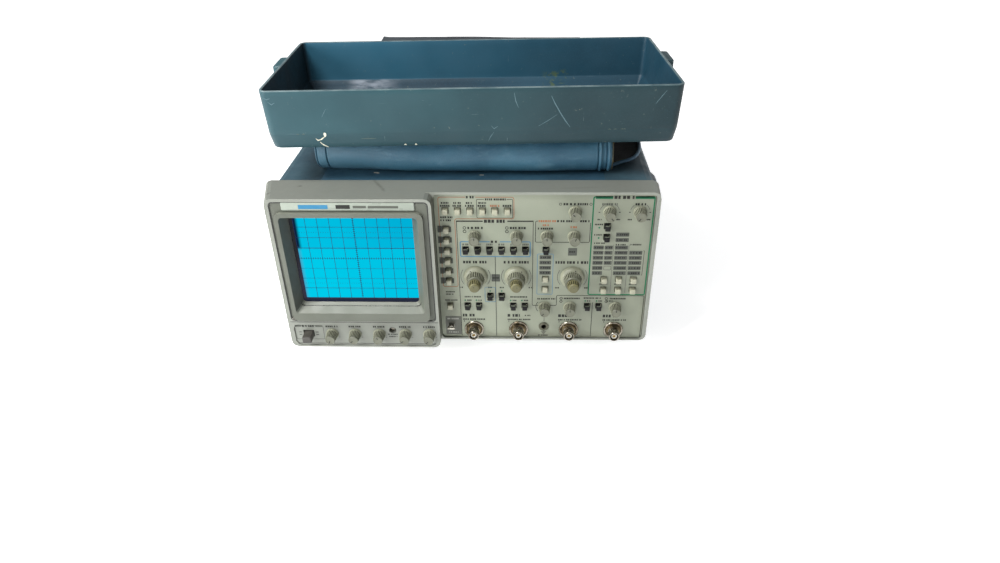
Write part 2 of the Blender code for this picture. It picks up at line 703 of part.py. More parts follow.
def probe_adjust_terminal():
    """Flat metal tab that a probe tip clips on to."""
    x, height = PROBE_ADJUST_PLACE
    p = PANEL_DEPTH
    thickness = (height - 0.5, height + 0.5)
    stem_half, head_half, eye_half = 2.4, 3.2, 1.2
    tab = box("probe_adjust_terminal", (x - stem_half, x + stem_half), (p - 4, p + 8), thickness)
    join(tab, box("head", (x - head_half, x + head_half), (p - 7, p - 3.5), thickness))
    cut(tab, box("eye", (x - eye_half, x + eye_half), (p - 5.6, p - 3.2), (height - 2, height + 2)))
    return paint(tab, NICKEL, 0.3, 1.0)


# --------------------------------------------------------- feet, handle, soft goods

def foot(name, x, depth):
    """Round foot that widens towards the cabinet, with its lower edge taken off."""
    top = CABINET_HEIGHT[0] - GAP
    bottom = -FOOT_HEIGHT
    sides = 16
    rings = []
    for radius, height in ((9.0, bottom), (10.0, bottom + 1), (11.5, top)):
        ring = []
        for i in range(sides):
            angle = 2 * math.pi * i / sides
            ring.append(point(x + radius * math.cos(angle), depth + radius * math.sin(angle), height))
        rings.append(ring)
    return smooth(paint(make_object(name, rings), BLACK, 0.8))


def convex_hull(points):
    """Outline of the smallest convex shape round 2D points."""
    ordered = sorted(set(points))

    def chain(sequence):
        hull = []
        for p in sequence:
            while len(hull) > 1:
                (ax, ay), (bx, by) = hull[-2], hull[-1]
                if (bx - ax) * (p[1] - ay) - (by - ay) * (p[0] - ax) > 0:
                    break
                hull.pop()
            hull.append(p)
        return hull[:-1]

    return chain(ordered) + chain(reversed(ordered))


def side_prism(name, outline, x_range):
    """A body of constant section across x; the outline is (depth, height) points."""
    return make_object(name, [[point(x, d, h) for d, h in outline] for x in x_range])


def oval(depth, height, half_depth, half_height, count):
    points = []
    for i in range(count):
        angle = 2 * math.pi * i / count
        points.append((depth + half_depth * math.cos(angle), height + half_height * math.sin(angle)))
    return points


def handle():
    """Crossbar, two tapering arms and two hubs that turn on the cabinet's bosses."""
    section = oval(GRIP_DEPTH, GRIP_HEIGHT, GRIP_WIDTH / 2, GRIP_THICKNESS / 2, 12)
    bail = side_prism("handle", section, (-ARM_X[1] + 1, ARM_X[1] - 1))
    hub_side = oval(HUB_DEPTH, HUB_HEIGHT, ARM_HUB_RADIUS, ARM_HUB_RADIUS, 16)
    tip = oval(GRIP_DEPTH, GRIP_HEIGHT, GRIP_WIDTH / 2 - 0.5, GRIP_THICKNESS / 2 - 0.4, 10)
    arm_outline = convex_hull(hub_side + tip)
    for side in (-1, 1):
        arm = side_prism("arm", arm_outline, (side * ARM_X[0], side * ARM_X[1]))
        disc = turned_sideways("disc", HUB_DEPTH, HUB_HEIGHT,
                               [(0, side * HUB_INNER), (HUB_RADIUS, side * HUB_INNER),
                                (HUB_RADIUS, side * (HUB_OUTER - HUB_ROUND)),
                                (HUB_RADIUS - 2, side * (HUB_OUTER - 2.5)),
                                (HUB_RADIUS - HUB_ROUND, side * HUB_OUTER), (0, side * HUB_OUTER)])
        join(bail, arm, disc)
        button_well = turned_sideways("well", HUB_DEPTH, HUB_HEIGHT,
                                      [(0, side * 171), (BUTTON_RADIUS + 0.5, side * 171),
                                       (BUTTON_RADIUS + 0.5, side * 190), (0, side * 190)], 20)
        boss_well = turned_sideways("well", HUB_DEPTH, HUB_HEIGHT,
                                    [(0, side * 150), (BOSS_RADIUS + 0.6, side * 150),
                                     (BOSS_RADIUS + 0.6, side * (BOSS_END + 0.6)),
                                     (0, side * (BOSS_END + 0.6))])
        cut(bail, button_well, boss_well)
    return set_origin(smooth(paint(bail, CABINET_BLUE, 0.5)), point(0, HUB_DEPTH, HUB_HEIGHT))


def handle_button(name, side):
    """Round release button in the outer face of a handle hub."""
    outer = HANDLE_WIDTH / 2
    inner = 171 + BUTTON_TRAVEL + 0.5
    button = turned_sideways(name, HUB_DEPTH, HUB_HEIGHT,
                             [(0, side * inner), (BUTTON_RADIUS, side * inner),
                              (BUTTON_RADIUS, side * (outer - 1)), (BUTTON_RADIUS - 1, side * outer),
                              (0, side * outer)], 20)
    return set_origin(smooth(paint(button, BLACK, 0.5)), point(side * inner, HUB_DEPTH, HUB_HEIGHT))


def accessory_pouch():
    """Soft case with a rounded front, open at its right end, with the end flap laid out."""
    (x0, x1), wall = POUCH_X, POUCH_WALL
    outer = rounded_outline(POUCH_DEPTH, POUCH_HEIGHT, POUCH_ROUND, 4)
    inner = rounded_outline((POUCH_DEPTH[0] + wall, POUCH_DEPTH[1] - wall),
                            (POUCH_HEIGHT[0] + wall, POUCH_HEIGHT[1] - wall), POUCH_ROUND - wall, 4)
    pouch = side_prism("accessory_pouch", outer, (x0, x1))
    join(pouch, box("flap", (x1 - 3, FLAP_X), (POUCH_DEPTH[0] + 20, POUCH_DEPTH[1] - 20),
                    (POUCH_HEIGHT[0], POUCH_HEIGHT[0] + wall - 0.2)))
    cut(pouch, side_prism("inside", inner, (x0 + wall, x1 + 5)))
    return smooth(paint(pouch, POUCH_BLUE, 0.6))


def cover_outline(size, inset):
    half_x, half_depth = size[0] / 2 - inset, size[1] / 2 - inset
    return rounded_outline((-half_x, half_x), (-half_depth, half_depth), COVER_CORNER - inset)


def cover_body(name, levels, inset):
    """A body through (height, size) levels, centred over the cover's own middle."""
    cx, cd = COVER_CENTRE
    rings = [[point(cx + x, cd + d, height) for x, d in cover_outline(size, inset)]
             for height, size in levels]
    return make_object(name, rings)


def front_cover():
    """Deep tray with a creased lower edge and a catch near the middle of each short side."""
    cx, cd = COVER_CENTRE
    levels = [(COVER_BASE, COVER_SIZE_BASE), (COVER_CREASE, COVER_SIZE_CREASE),
              (COVER_RIM, COVER_SIZE_RIM)]
    cover = cover_body("front_cover", levels, 0)
    half = COVER_SIZE_RIM[0] / 2
    for side in (-1, 1):
        ends = sorted((cx + side * (half - 1.5), cx + side * (half + 6.5)))
        middle = cd + CATCH_OFFSET
        join(cover, box("catch", ends, (middle - 11, middle + 11), (COVER_RIM - 9, COVER_RIM)))
    inner = [(COVER_BASE + COVER_WALL, COVER_SIZE_BASE), (COVER_CREASE, COVER_SIZE_CREASE),
             (COVER_RIM + 2, COVER_SIZE_RIM)]
    cut(cover, cover_body("inside", inner, COVER_WALL))
    centre = point(cx, cd, COVER_BASE)
    set_origin(cover, centre)
    cover.rotation_euler = (0, 0, math.radians(COVER_TURN_DEG))
    return smooth(paint(cover, COVER_BLUE, 0.5))


def build_controls():
    for name, place in STRIP_KNOBS.items():
        small_knob(name, place, STRIP_DEPTH)
    for name, place in PANEL_KNOBS.items():
        small_knob(name, place, PANEL_DEPTH)
    for prefix, place in DUAL_KNOBS.items():
        skirted_knob(prefix + "_knob", place)
        inner_knob(prefix + "_variable_knob", place)
    for name, (protrusion, places) in KEY_GROUPS.items():
        key_group(name, protrusion, places)
    for name, place in CONNECTORS.items():
        bayonet_connector(name, place)
    power_key()
    trace_trimmer()
    ground_jack()
    probe_adjust_terminal()


def build():
    clear_scene()
    front_frame()
    control_panel()
    crt_bezel()
    screen_filter()
    crt_tube()
    crt_shield()
    cabinet()
    rear_panel()
    fan_rotor()
    power_inlet()
    chassis()
    main_board()
    power_supply()
    build_controls()
    for name, x, depth in (("foot_front_left", -130, 62), ("foot_front_right", 130, 62),
                           ("foot_rear_left", -130, 372), ("foot_rear_right", 130, 372)):
        foot(name, x, depth)
    handle()
    handle_button("handle_button_left", -1)
    handle_button("handle_button_right", 1)
    accessory_pouch()
    front_cover()


build()
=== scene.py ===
"""Looks of the portable oscilloscope with its front cover and accessory pouch.

Blender 4.5 script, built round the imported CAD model. Lengths are written in millimetres,
with three directions:
x      sideways from the centre line, positive to the user's right
depth  back from the face of the display module
height up from the bottom edge of the front frame
spot() turns them into the shared frame: metres, +Z up, the user at -Y.
"""
import math
import random

import bmesh
import bpy
from mathutils import Matrix, Vector, noise


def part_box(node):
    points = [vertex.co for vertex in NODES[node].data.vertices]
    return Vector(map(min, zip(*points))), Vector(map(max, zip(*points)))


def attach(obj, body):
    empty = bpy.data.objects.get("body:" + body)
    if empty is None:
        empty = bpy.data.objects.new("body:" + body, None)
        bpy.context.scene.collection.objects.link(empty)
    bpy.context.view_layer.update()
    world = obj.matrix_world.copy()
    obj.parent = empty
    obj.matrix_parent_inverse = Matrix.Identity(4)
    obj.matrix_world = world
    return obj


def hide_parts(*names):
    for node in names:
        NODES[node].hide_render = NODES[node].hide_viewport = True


MM = 0.001
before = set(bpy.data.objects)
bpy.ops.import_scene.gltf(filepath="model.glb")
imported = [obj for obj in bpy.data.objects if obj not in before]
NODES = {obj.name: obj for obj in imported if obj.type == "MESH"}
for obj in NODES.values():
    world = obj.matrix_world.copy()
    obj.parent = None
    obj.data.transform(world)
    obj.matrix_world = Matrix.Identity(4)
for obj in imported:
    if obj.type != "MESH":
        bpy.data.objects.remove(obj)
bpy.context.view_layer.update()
MAIN = "main_unit"
FACE_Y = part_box("front_frame")[0].y
BASE_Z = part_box("front_frame")[0].z


def spot(x, depth, height):
    """A place in millimetres as a point in the shared frame."""
    return Vector((x * MM, FACE_Y + depth * MM, BASE_Z + height * MM))


def extent(node):
    """((x0, x1), (depth0, depth1), (height0, height1)) of a CAD node, in millimetres."""
    low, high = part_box(node)
    return ((low.x / MM, high.x / MM),
            ((low.y - FACE_Y) / MM, (high.y - FACE_Y) / MM),
            ((low.z - BASE_Z) / MM, (high.z - BASE_Z) / MM))


def place_of(node):
    """(x, height) of the middle of a control."""
    (x0, x1), _, (h0, h1) = extent(node)
    return (x0 + x1) / 2, (h0 + h1) / 2


# Planes and edges that several sections use
STRIP_DEPTH = 1.0
PANEL_DEPTH = 15.0
SCREEN_DEPTH = extent("screen_filter")[1][0]
MODULE_RIGHT = -23.7
PRINT_THICKNESS = 0.08


# ------------------------------------------------------------------- shader nodes

def rgb(red, green, blue):
    """Linear colour of an 8-bit display colour."""
    return tuple(((c / 255 + 0.055) / 1.055) ** 2.4 if c > 10 else c / 255 / 12.92
                 for c in (red, green, blue)) + (1.0,)


class Finish:
    """A material whose node graph is built step by step and ends in one Principled shader."""

    def __init__(self, name, roughness=0.5, metallic=0.0, **values):
        self.material = bpy.data.materials.new(name)
        self.material.use_nodes = True
        self.tree = self.material.node_tree
        self.shader = self.tree.nodes["Principled BSDF"]
        self.shader.inputs["Roughness"].default_value = roughness
        self.shader.inputs["Metallic"].default_value = metallic
        for key, value in values.items():
            self.shader.inputs[key.replace("_", " ")].default_value = value
        self.place = self.add("TexCoord").outputs["Object"]

    def add(self, kind, links=None, **settings):
        node = self.tree.nodes.new("ShaderNode" + kind)
        for key, value in settings.items():
            setattr(node, key, value)
        for key, value in (links or {}).items():
            if isinstance(value, bpy.types.NodeSocket):
                self.tree.links.new(value, node.inputs[key])
            else:
                node.inputs[key].default_value = value
        return node

    def stretched(self, scale, turn=(0, 0, 0)):
        return self.add("Mapping", {"Vector": self.place, "Scale": scale, "Rotation": turn}).outputs[0]

    def noise(self, scale, detail=3.0, rough=0.5, stretch=None, turn=(0, 0, 0)):
        where = self.stretched(stretch, turn) if stretch else self.place
        return self.add("TexNoise", {"Vector": where, "Scale": scale, "Detail": detail,
                                     "Roughness": rough}).outputs["Fac"]

    def cells(self, scale, stretch):
        """Distance to the nearest edge between cells."""
        node = self.add("TexVoronoi", {"Vector": self.stretched(stretch), "Scale": scale},
                        feature="DISTANCE_TO_EDGE")
        return node.outputs["Distance"]

    def fade(self, value, low, high, start=0.0, end=1.0):
        """A smooth step from start to end as value goes from low to high."""
        return self.add("MapRange", {0: value, 1: low, 2: high, 3: start, 4: end},
                        interpolation_type="SMOOTHSTEP").outputs[0]

    def ramp(self, value, low, high, end=1.0):
        """A straight-line step from 0 to end as value goes from low to high."""
        return self.add("MapRange", {0: value, 1: low, 2: high, 4: end}).outputs[0]

    def between(self, index, low, high, start=0.0, end=1.0):
        """A smooth step between two places on one axis: 0 is x, 1 depth and 2 height."""
        low, high = (spot(value, value, value)[index] for value in (low, high))
        return self.fade(self.axis(index), low, high, start, end)

    def both(self, first, second):
        return self.calc("MULTIPLY", first, second)

    def calc(self, operation, first, second=0.0, third=0.0):
        return self.add("Math", {0: first, 1: second, 2: third}, operation=operation).outputs[0]

    def mix(self, factor, first, second, blend="MIX"):
        node = self.add("Mix", {0: factor, 6: first, 7: second}, data_type="RGBA", blend_type=blend)
        return node.outputs[2]

    def axis(self, index):
        """One coordinate of the rest position, in metres."""
        return self.add("SeparateXYZ", {0: self.place}).outputs[index]

    def edges(self, radius_mm):
        """0 on flat faces, towards 1 on convex edges."""
        rounded = self.add("Bevel", {"Radius": radius_mm * MM}, samples=4).outputs[0]
        flat = self.add("NewGeometry").outputs["Normal"]
        aligned = self.add("VectorMath", {0: rounded, 1: flat}, operation="DOT_PRODUCT").outputs["Value"]
        return self.fade(aligned, 0.99, 0.80)

    def colour(self, socket):
        self.tree.links.new(socket, self.shader.inputs["Base Color"])
        return self

    def roughness(self, socket):
        self.tree.links.new(socket, self.shader.inputs["Roughness"])
        return self

    def bump(self, height, depth_mm, strength=1.0):
        node = self.add("Bump", {"Height": height, "Distance": depth_mm * MM, "Strength": strength})
        previous = self.shader.inputs["Normal"].links
        if previous:
            self.tree.links.new(previous[0].from_socket, node.inputs["Normal"])
        self.tree.links.new(node.outputs[0], self.shader.inputs["Normal"])
        return self


def moulded(name, base, light=None, dark=None, roughness=0.5, patch=28, specks=0.0, grain=0.03,
            grain_scale=1400, edge=None, **values):
    """Moulded or painted surface: patchy tone, small dirt specks, fine grain and rubbed edges."""
    finish = Finish(name, roughness, **values)
    light = light or tuple(min(1.0, c * 1.12) for c in base[:3]) + (1.0,)
    dark = dark or tuple(c * 0.86 for c in base[:3]) + (1.0,)
    tone = finish.mix(finish.fade(finish.noise(patch), 0.35, 0.65), dark, light)
    colour = finish.mix(0.5, tone, base)
    fine = finish.noise(grain_scale, 2.0)
    colour = finish.mix(finish.fade(fine, 0.40, 0.75, 0.0, 0.18), colour, dark)
    if specks:
        dirt = finish.fade(finish.noise(620, 2.0, 0.7), 0.72 - specks * 0.2, 0.80)
        colour = finish.mix(dirt, colour, tuple(c * 0.35 for c in base[:3]) + (1.0,))
    if edge:
        colour = finish.mix(finish.both(finish.edges(0.9), 0.7), colour, edge)
    finish.colour(colour)
    finish.roughness(finish.fade(finish.noise(patch * 3), 0.3, 0.7, roughness - 0.06, roughness + 0.08))
    finish.bump(fine, grain)
    return finish.material


def metal(name, base, roughness, tarnish=None, brushed=(1, 1, 1)):
    """Plated or bare metal with tarnish in patches and faint tool marks."""
    finish = Finish(name, roughness, 1.0)
    tarnish = tarnish or tuple(c * 0.6 for c in base[:3]) + (1.0,)
    patches = finish.fade(finish.noise(160, 4.0), 0.40, 0.70)
    finish.colour(finish.mix(patches, base, tarnish))
    finish.roughness(finish.fade(finish.noise(420), 0.3, 0.7, roughness * 0.7, roughness * 1.6))
    marks = finish.noise(900, 2.0, stretch=brushed)
    finish.bump(marks, 0.02)
    return finish.material


# -------------------------------------------------------------------- mesh helpers

def circle(sides):
    """Angles of evenly spaced points round a circle."""
    return [2 * math.pi * i / sides for i in range(sides)]


def polar(place, radius, angle):
    """The (x, height) point at a distance and direction from a place."""
    return place[0] + radius * math.cos(angle), place[1] + radius * math.sin(angle)


def bridge(shape, first, second, finish):
    """Faces between two rings of vertices; a ring of one vertex is a pole.
    finish is a slot index, or a function of the face's number round the ring."""
    count = max(len(first), len(second))
    for i in range(count):
        j = (i + 1) % count
        if len(first) == 1:
            corners = (first[0], second[i], second[j])
        elif len(second) == 1:
            corners = (first[i], first[j], second[0])
        else:
            corners = (first[i], first[j], second[j], second[i])
        shape.faces.new(corners).material_index = finish(i) if callable(finish) else finish


def add_rings(shape, rings, finish=0, caps=True, closed=False):
    """A body through rings of points. finish is one slot index, or one for each band."""
    made = [[shape.verts.new(p) for p in ring] for ring in rings]
    pairs = list(zip(made, made[1:]))
    if closed:
        pairs.append((made[-1], made[0]))
    for i, (first, second) in enumerate(pairs):
        bridge(shape, first, second, finish[i] if isinstance(finish, list) else finish)
    if caps and not closed:
        for ring, index in ((made[0], 0), (made[-1], -1)):
            if len(ring) > 2:
                face = shape.faces.new(ring)
                face.material_index = finish[index] if isinstance(finish, list) else finish


def add_turned(shape, place, profile, sides=40, finish=0):
    """Turn (radius, depth) points round an axis that runs from front to back."""
    x, height = place
    rings = []
    for radius, depth in profile:
        turn = circle(sides) if radius else [0.0]
        rings.append([spot(x + radius * math.cos(a), depth, height + radius * math.sin(a)) for a in turn])
    add_rings(shape, rings, finish)


def add_turned_sideways(shape, depth, height, profile, sides):
    """Turn (radius, x) points round an axis that runs from left to right."""
    rings = []
    for radius, x in profile:
        turn = circle(sides) if radius else [0.0]
        rings.append([spot(x, depth + radius * math.cos(a), height + radius * math.sin(a)) for a in turn])
    add_rings(shape, rings)


def rounded_outline(x_range, height_range, radius, steps=4):
    """Points round a rectangle with rounded corners."""
    (x0, x1), (h0, h1) = x_range, height_range
    centres = [(x1 - radius, h0 + radius, -90), (x1 - radius, h1 - radius, 0),
               (x0 + radius, h1 - radius, 90), (x0 + radius, h0 + radius, 180)]
    outline = []
    for cx, ch, start in centres:
        for step in range(steps + 1):
            angle = math.radians(start + 90 * step / steps)
            outline.append((cx + radius * math.cos(angle), ch + radius * math.sin(angle)))
    return outline


def add_block(shape, x_range, height_range, front, back, corner=0.6, edge=0.4, finish=0):
    """Block with rounded corners and a rounded front edge, facing the user."""
    rings = []
    steps = 3
    for step in range(steps + 1):
        angle = math.radians(90 * step / steps)
        inset = edge * (1 - math.sin(angle))
        depth = front + edge * (1 - math.cos(angle))
        (x0, x1), (h0, h1) = x_range, height_range
        outline = rounded_outline((x0 + inset, x1 - inset), (h0 + inset, h1 - inset),
                                  max(corner - inset, 0.05), steps)
        rings.append([spot(x, depth, h) for x, h in outline])
    rings.append([p + Vector((0, (back - front - edge) * MM, 0)) for p in rings[-1]])
    add_rings(shape, rings, finish)


def add_plate(shape, outline, front, back, finish=0):
    """Flat plate with any (x, height) outline, between two depths."""
    add_rings(shape, [[spot(x, depth, h) for x, h in outline] for depth in (front, back)], finish)


def filleted(path, radius, closed):
    """The path with its corners rounded."""
    if not radius:
        return list(path)
    steps = 4
    points = []
    count = len(path)
    for i, corner in enumerate(path):
        if not closed and i in (0, count - 1):
            points.append(corner)
            continue
        here = Vector(corner)
        before = Vector(path[i - 1]) - here
        after = Vector(path[(i + 1) % count]) - here
        reach = min(radius, before.length / 2, after.length / 2)
        start, end = here + before.normalized() * reach, here + after.normalized() * reach
        for step in range(steps + 1):
            t = step / steps
            point = start * (1 - t) ** 2 + here * 2 * t * (1 - t) + end * t ** 2
            points.append((point.x, point.y))
    return points


def add_ribbon(shape, path, width, depth, finish=0, radius=0.0, closed=False, thickness=PRINT_THICKNESS):
    """Printed line of constant width along (x, height) points, a little proud of its surface."""
    points = [Vector(p) for p in filleted(path, radius, closed)]
    count = len(points)
    rings = []
    for i, here in enumerate(points):
        before = points[i - 1] if closed or i else here * 2 - points[1]
        after = points[(i + 1) % count] if closed or i < count - 1 else here * 2 - points[i - 1]
        first, second = (here - before).normalized(), (after - here).normalized()
        along = (first + second).normalized() if (first + second).length > 1e-6 else first
        reach = width / 2 / max(0.5, along.dot(first))
        side = Vector((-along.y, along.x)) * reach
        left, right = here + side, here - side
        rings.append([spot(left.x, depth, left.y), spot(left.x, depth - thickness, left.y),
                      spot(right.x, depth - thickness, right.y), spot(right.x, depth, right.y)])
    add_rings(shape, rings, finish, closed=closed)


def add_bar(shape, x_range, height_range, depth, finish=0):
    """Printed rectangle."""
    (x0, x1), (h0, h1) = x_range, height_range
    add_plate(shape, [(x0, h0), (x1, h0), (x1, h1), (x0, h1)], depth - PRINT_THICKNESS, depth, finish)


def add_dot(shape, place, radius, depth, finish):
    outline = [polar(place, radius, angle) for angle in circle(16)]
    add_plate(shape, outline, depth - PRINT_THICKNESS, depth, finish)


def add_tube(shape, path, radius, sides, finish=0, closed=False):
    """Round bar along points of the shared frame."""
    count = len(path)
    rings = []
    side = None
    for i, here in enumerate(path):
        before = path[i - 1] if closed or i else here
        after = path[(i + 1) % count] if closed or i < count - 1 else here
        along = (after - before).normalized()
        if side is None:
            side = along.orthogonal().normalized()
        side = (side - along * side.dot(along)).normalized()
        up = along.cross(side)
        turn = circle(sides)
        rings.append([here + (side * math.cos(a) + up * math.sin(a)) * radius * MM for a in turn])
    add_rings(shape, rings, finish, closed=closed)


def piece(name, shape, body, finishes, stands_for=(), sharp_deg=35):
    """Turn the bmesh into an object that rides on a CAD body."""
    bmesh.ops.recalc_face_normals(shape, faces=shape.faces)
    mesh = bpy.data.meshes.new(name)
    shape.to_mesh(mesh)
    shape.free()
    for finish in finishes:
        mesh.materials.append(finish)
    mesh.shade_smooth()
    mesh.set_sharp_from_angle(angle=math.radians(sharp_deg))
    made = bpy.data.objects.new(name, mesh)
    bpy.context.scene.collection.objects.link(made)
    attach(made, body)
    if stands_for:
        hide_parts(*stands_for)
    return made


def dress(node, finish, bevel_mm=0.0, segments=2):
    """Give a CAD node its finish, and soften its edges."""
    target = NODES[node]
    target.data.materials.clear()
    target.data.materials.append(finish)
    for polygon in target.data.polygons:
        polygon.material_index = 0
    if bevel_mm:
        modifier = target.modifiers.new("edges", "BEVEL")
        modifier.width = bevel_mm * MM
        modifier.segments = segments
        modifier.limit_method = "ANGLE"
        modifier.angle_limit = math.radians(30)
        modifier.harden_normals = True


# ----------------------------------------------------------------------- materials

FRAME_PAINT = moulded("frame_paint", rgb(122, 125, 117), light=rgb(129, 133, 124), dark=rgb(110, 113, 105),
                      roughness=0.55, patch=22, specks=0.12, grain=0.02, edge=rgb(140, 143, 133))
PANEL_PAINT = moulded("panel_paint", rgb(121, 126, 110), light=rgb(127, 132, 115), dark=rgb(110, 115, 100),
                      roughness=0.55, patch=18, specks=0.10, grain=0.015)
BEZEL_PAINT = moulded("bezel_paint", rgb(84, 87, 76), light=rgb(88, 92, 83), dark=rgb(73, 77, 68),
                      roughness=0.5, patch=25, specks=0.10, grain=0.02, edge=rgb(98, 101, 90))
KNOB_PLASTIC = moulded("knob_plastic", rgb(119, 121, 103), light=rgb(131, 133, 113), dark=rgb(96, 98, 82),
                       roughness=0.45, patch=140, specks=0.08, grain=0.02, edge=rgb(139, 141, 123))
# Darker copy of the knob plastic for the knob faces: painted shade.
KNOB_FACE_SHADED = moulded("knob_face_painted_shade", rgb(92, 94, 79), roughness=0.4, patch=200, specks=0.1, grain=0.01)
KHAKI_PLASTIC = moulded("khaki_plastic", rgb(104, 101, 67), light=rgb(114, 110, 77),
                        dark=rgb(78, 75, 45), roughness=0.42, patch=200, specks=0.1, grain=0.02)
KEY_LIGHT = moulded("key_light", rgb(146, 146, 127), light=rgb(151, 151, 132), dark=rgb(129, 128, 108),
                    roughness=0.42, patch=160, specks=0.05, grain=0.01)
KEY_DARK = moulded("key_dark", rgb(24, 24, 24), light=rgb(32, 33, 33), dark=rgb(15, 15, 16),
                   roughness=0.45, patch=160, grain=0.01, Specular_IOR_Level=0.12)
POWER_PLASTIC = moulded("power_plastic", rgb(55, 52, 47), light=rgb(65, 63, 58), dark=rgb(40, 39, 35),
                        roughness=0.4, patch=160, specks=0.1, grain=0.02)
BLACK_PLASTIC = moulded("black_plastic", rgb(30, 31, 32), roughness=0.45, patch=60, grain=0.03)
CABINET_PAINT = moulded("cabinet_paint", rgb(45, 68, 79), light=rgb(53, 79, 88), dark=rgb(34, 54, 64),
                        roughness=0.55, patch=30, specks=0.15, grain=0.08, grain_scale=1100,
                        edge=rgb(56, 78, 86), Specular_IOR_Level=0.34)
NICKEL = metal("nickel", rgb(138, 133, 122), 0.22, tarnish=rgb(84, 73, 54))
BRASS = metal("brass", rgb(149, 125, 75), 0.3, tarnish=rgb(86, 68, 34))
# A darker copy of the nickel, used as painted shadow inside the input sockets.
NICKEL_SHADOW = metal("nickel_painted_shadow", rgb(101, 89, 66), 0.38, tarnish=rgb(55, 50, 38))
DULL_TIN = metal("dull_tin", rgb(92, 92, 80), 0.5)
PALE_TIN = metal("pale_tin", rgb(214, 210, 198), 0.5)
STEEL = metal("steel", rgb(178, 178, 176), 0.32)
INSULATOR = moulded("insulator", rgb(170, 167, 156), roughness=0.4, patch=300, grain=0.01)


def ink(name, colour, roughness=0.6):
    """Printed ink with slightly uneven cover."""
    finish = Finish(name, roughness, Specular_IOR_Level=0.2)
    thin = tuple(c * 0.85 + 0.02 for c in colour[:3]) + (1.0,)
    finish.colour(finish.mix(finish.fade(finish.noise(700, 3.0), 0.5, 0.8), colour, thin))
    return finish.material


INK_DARK = ink("ink_dark", rgb(36, 37, 34))
INK_GREY = ink("ink_grey", rgb(78, 81, 74))
INK_PLAQUE = ink("ink_plaque", rgb(70, 73, 67))
INK_ORANGE = ink("ink_orange", rgb(138, 88, 60))
INK_BLUE = ink("ink_blue", rgb(74, 112, 134))
INK_GREEN = ink("ink_green", rgb(23, 93, 63))


# ------------------------------------------------------------------ CAD nodes kept

dress("front_frame", FRAME_PAINT, 0.9, 3)
dress("control_panel", PANEL_PAINT, 0.25, 2)


def reopened(material):
    """The Finish of a material that exists already, and the colour it has so far."""
    finish = Finish.__new__(Finish)
    finish.material = material
    finish.tree = material.node_tree
    finish.shader = finish.tree.nodes["Principled BSDF"]
    finish.place = finish.add("TexCoord").outputs["Object"]
    return finish, finish.shader.inputs["Base Color"].links[0].from_socket


def shade_by_facing(material, axis, low, high, tint, amount=1.0):
    """A second tone on the faces that look along one axis: painted light where it is paler, painted shade
    where it is darker.
    """
    finish, painted = reopened(material)
    normal = finish.add("NewGeometry").outputs["Normal"]
    facing = finish.add("SeparateXYZ", {0: normal}).outputs[axis]
    finish.colour(finish.mix(finish.ramp(facing, low, high, amount), painted, tint))


def painted_light_across(material, x_from, x_to, first, last):
    """Painted light: a slow change of tone from one side of the object to the other, as light falling off
    across it.
    """
    finish, painted = reopened(material)
    across = finish.ramp(finish.axis(0), x_from * MM, x_to * MM)
    tones = finish.mix(across, first + (1.0,), last + (1.0,))
    finish.colour(finish.mix(1.0, painted, tones, "MULTIPLY"))


def grime_and_shade_patch(material, middle, half_size, turn_deg, tint, amount):
    """Soft broken darker patch, used for grime and for painted shade; middle and half_size are in
    millimetres.
    """
    finish, painted = reopened(material)
    local = finish.add("Mapping", {"Vector": finish.place}, vector_type="TEXTURE")
    local.inputs["Location"].default_value = spot(*middle)
    local.inputs["Rotation"].default_value = (0.0, 0.0, math.radians(turn_deg))
    local.inputs["Scale"].default_value = [size * MM for size in half_size]
    distance = finish.add("VectorMath", {0: local.outputs[0]}, operation="LENGTH").outputs["Value"]
    speckle = finish.add("TexNoise", {"Vector": finish.place, "Scale": 240}).outputs[0]
    ragged = finish.calc("MULTIPLY_ADD", speckle, 1.2, distance)
    finish.colour(finish.mix(finish.ramp(ragged, 1.6, 0.7, amount), painted, tint))


# Painted light: the panel paler towards the left.
painted_light_across(PANEL_PAINT, -10.0, 110.0, (1.17, 1.18, 1.19), (0.97, 0.97, 0.97))
# Painted shade and light by facing: bezel faces that look right darker, frame tops and frame sides darker,
# bezel tops lighter, khaki knob fronts darker, knob faces that look left lighter.
shade_by_facing(BEZEL_PAINT, 0, 0.15, 0.6, rgb(54, 57, 51))
shade_by_facing(FRAME_PAINT, 2, 0.4, 0.9, rgb(101, 104, 97), 0.85)
shade_by_facing(FRAME_PAINT, 0, 0.4, 0.9, rgb(88, 90, 80))
shade_by_facing(FRAME_PAINT, 0, -0.3, -0.9, rgb(104, 107, 99))
shade_by_facing(BEZEL_PAINT, 2, 0.2, 0.8, rgb(101, 104, 93))
shade_by_facing(KHAKI_PLASTIC, 1, -0.6, -0.95, rgb(80, 78, 48))
shade_by_facing(KNOB_PLASTIC, 0, -0.3, -0.95, rgb(140, 142, 122), 0.6)
GRIME = rgb(64, 65, 56)
grime_and_shade_patch(FRAME_PAINT, (-70.0, 27.5, 148.0), (17.0, 2.2, 30.0), -59.0, GRIME, 0.6)
grime_and_shade_patch(FRAME_PAINT, (-61.0, 40.5, 148.0), (11.0, 3.4, 30.0), 5.0, GRIME, 0.55)
grime_and_shade_patch(FRAME_PAINT, (-135.0, 25.0, 148.0), (2.4, 2.0, 30.0), 0.0, GRIME, 0.7)
grime_and_shade_patch(FRAME_PAINT, (-158.0, 11.5, 148.0), (3.0, 2.0, 30.0), 20.0, GRIME, 0.7)
grime_and_shade_patch(FRAME_PAINT, (96.0, 22.0, 148.0), (26.0, 2.0, 30.0), 4.0, GRIME, 0.22)
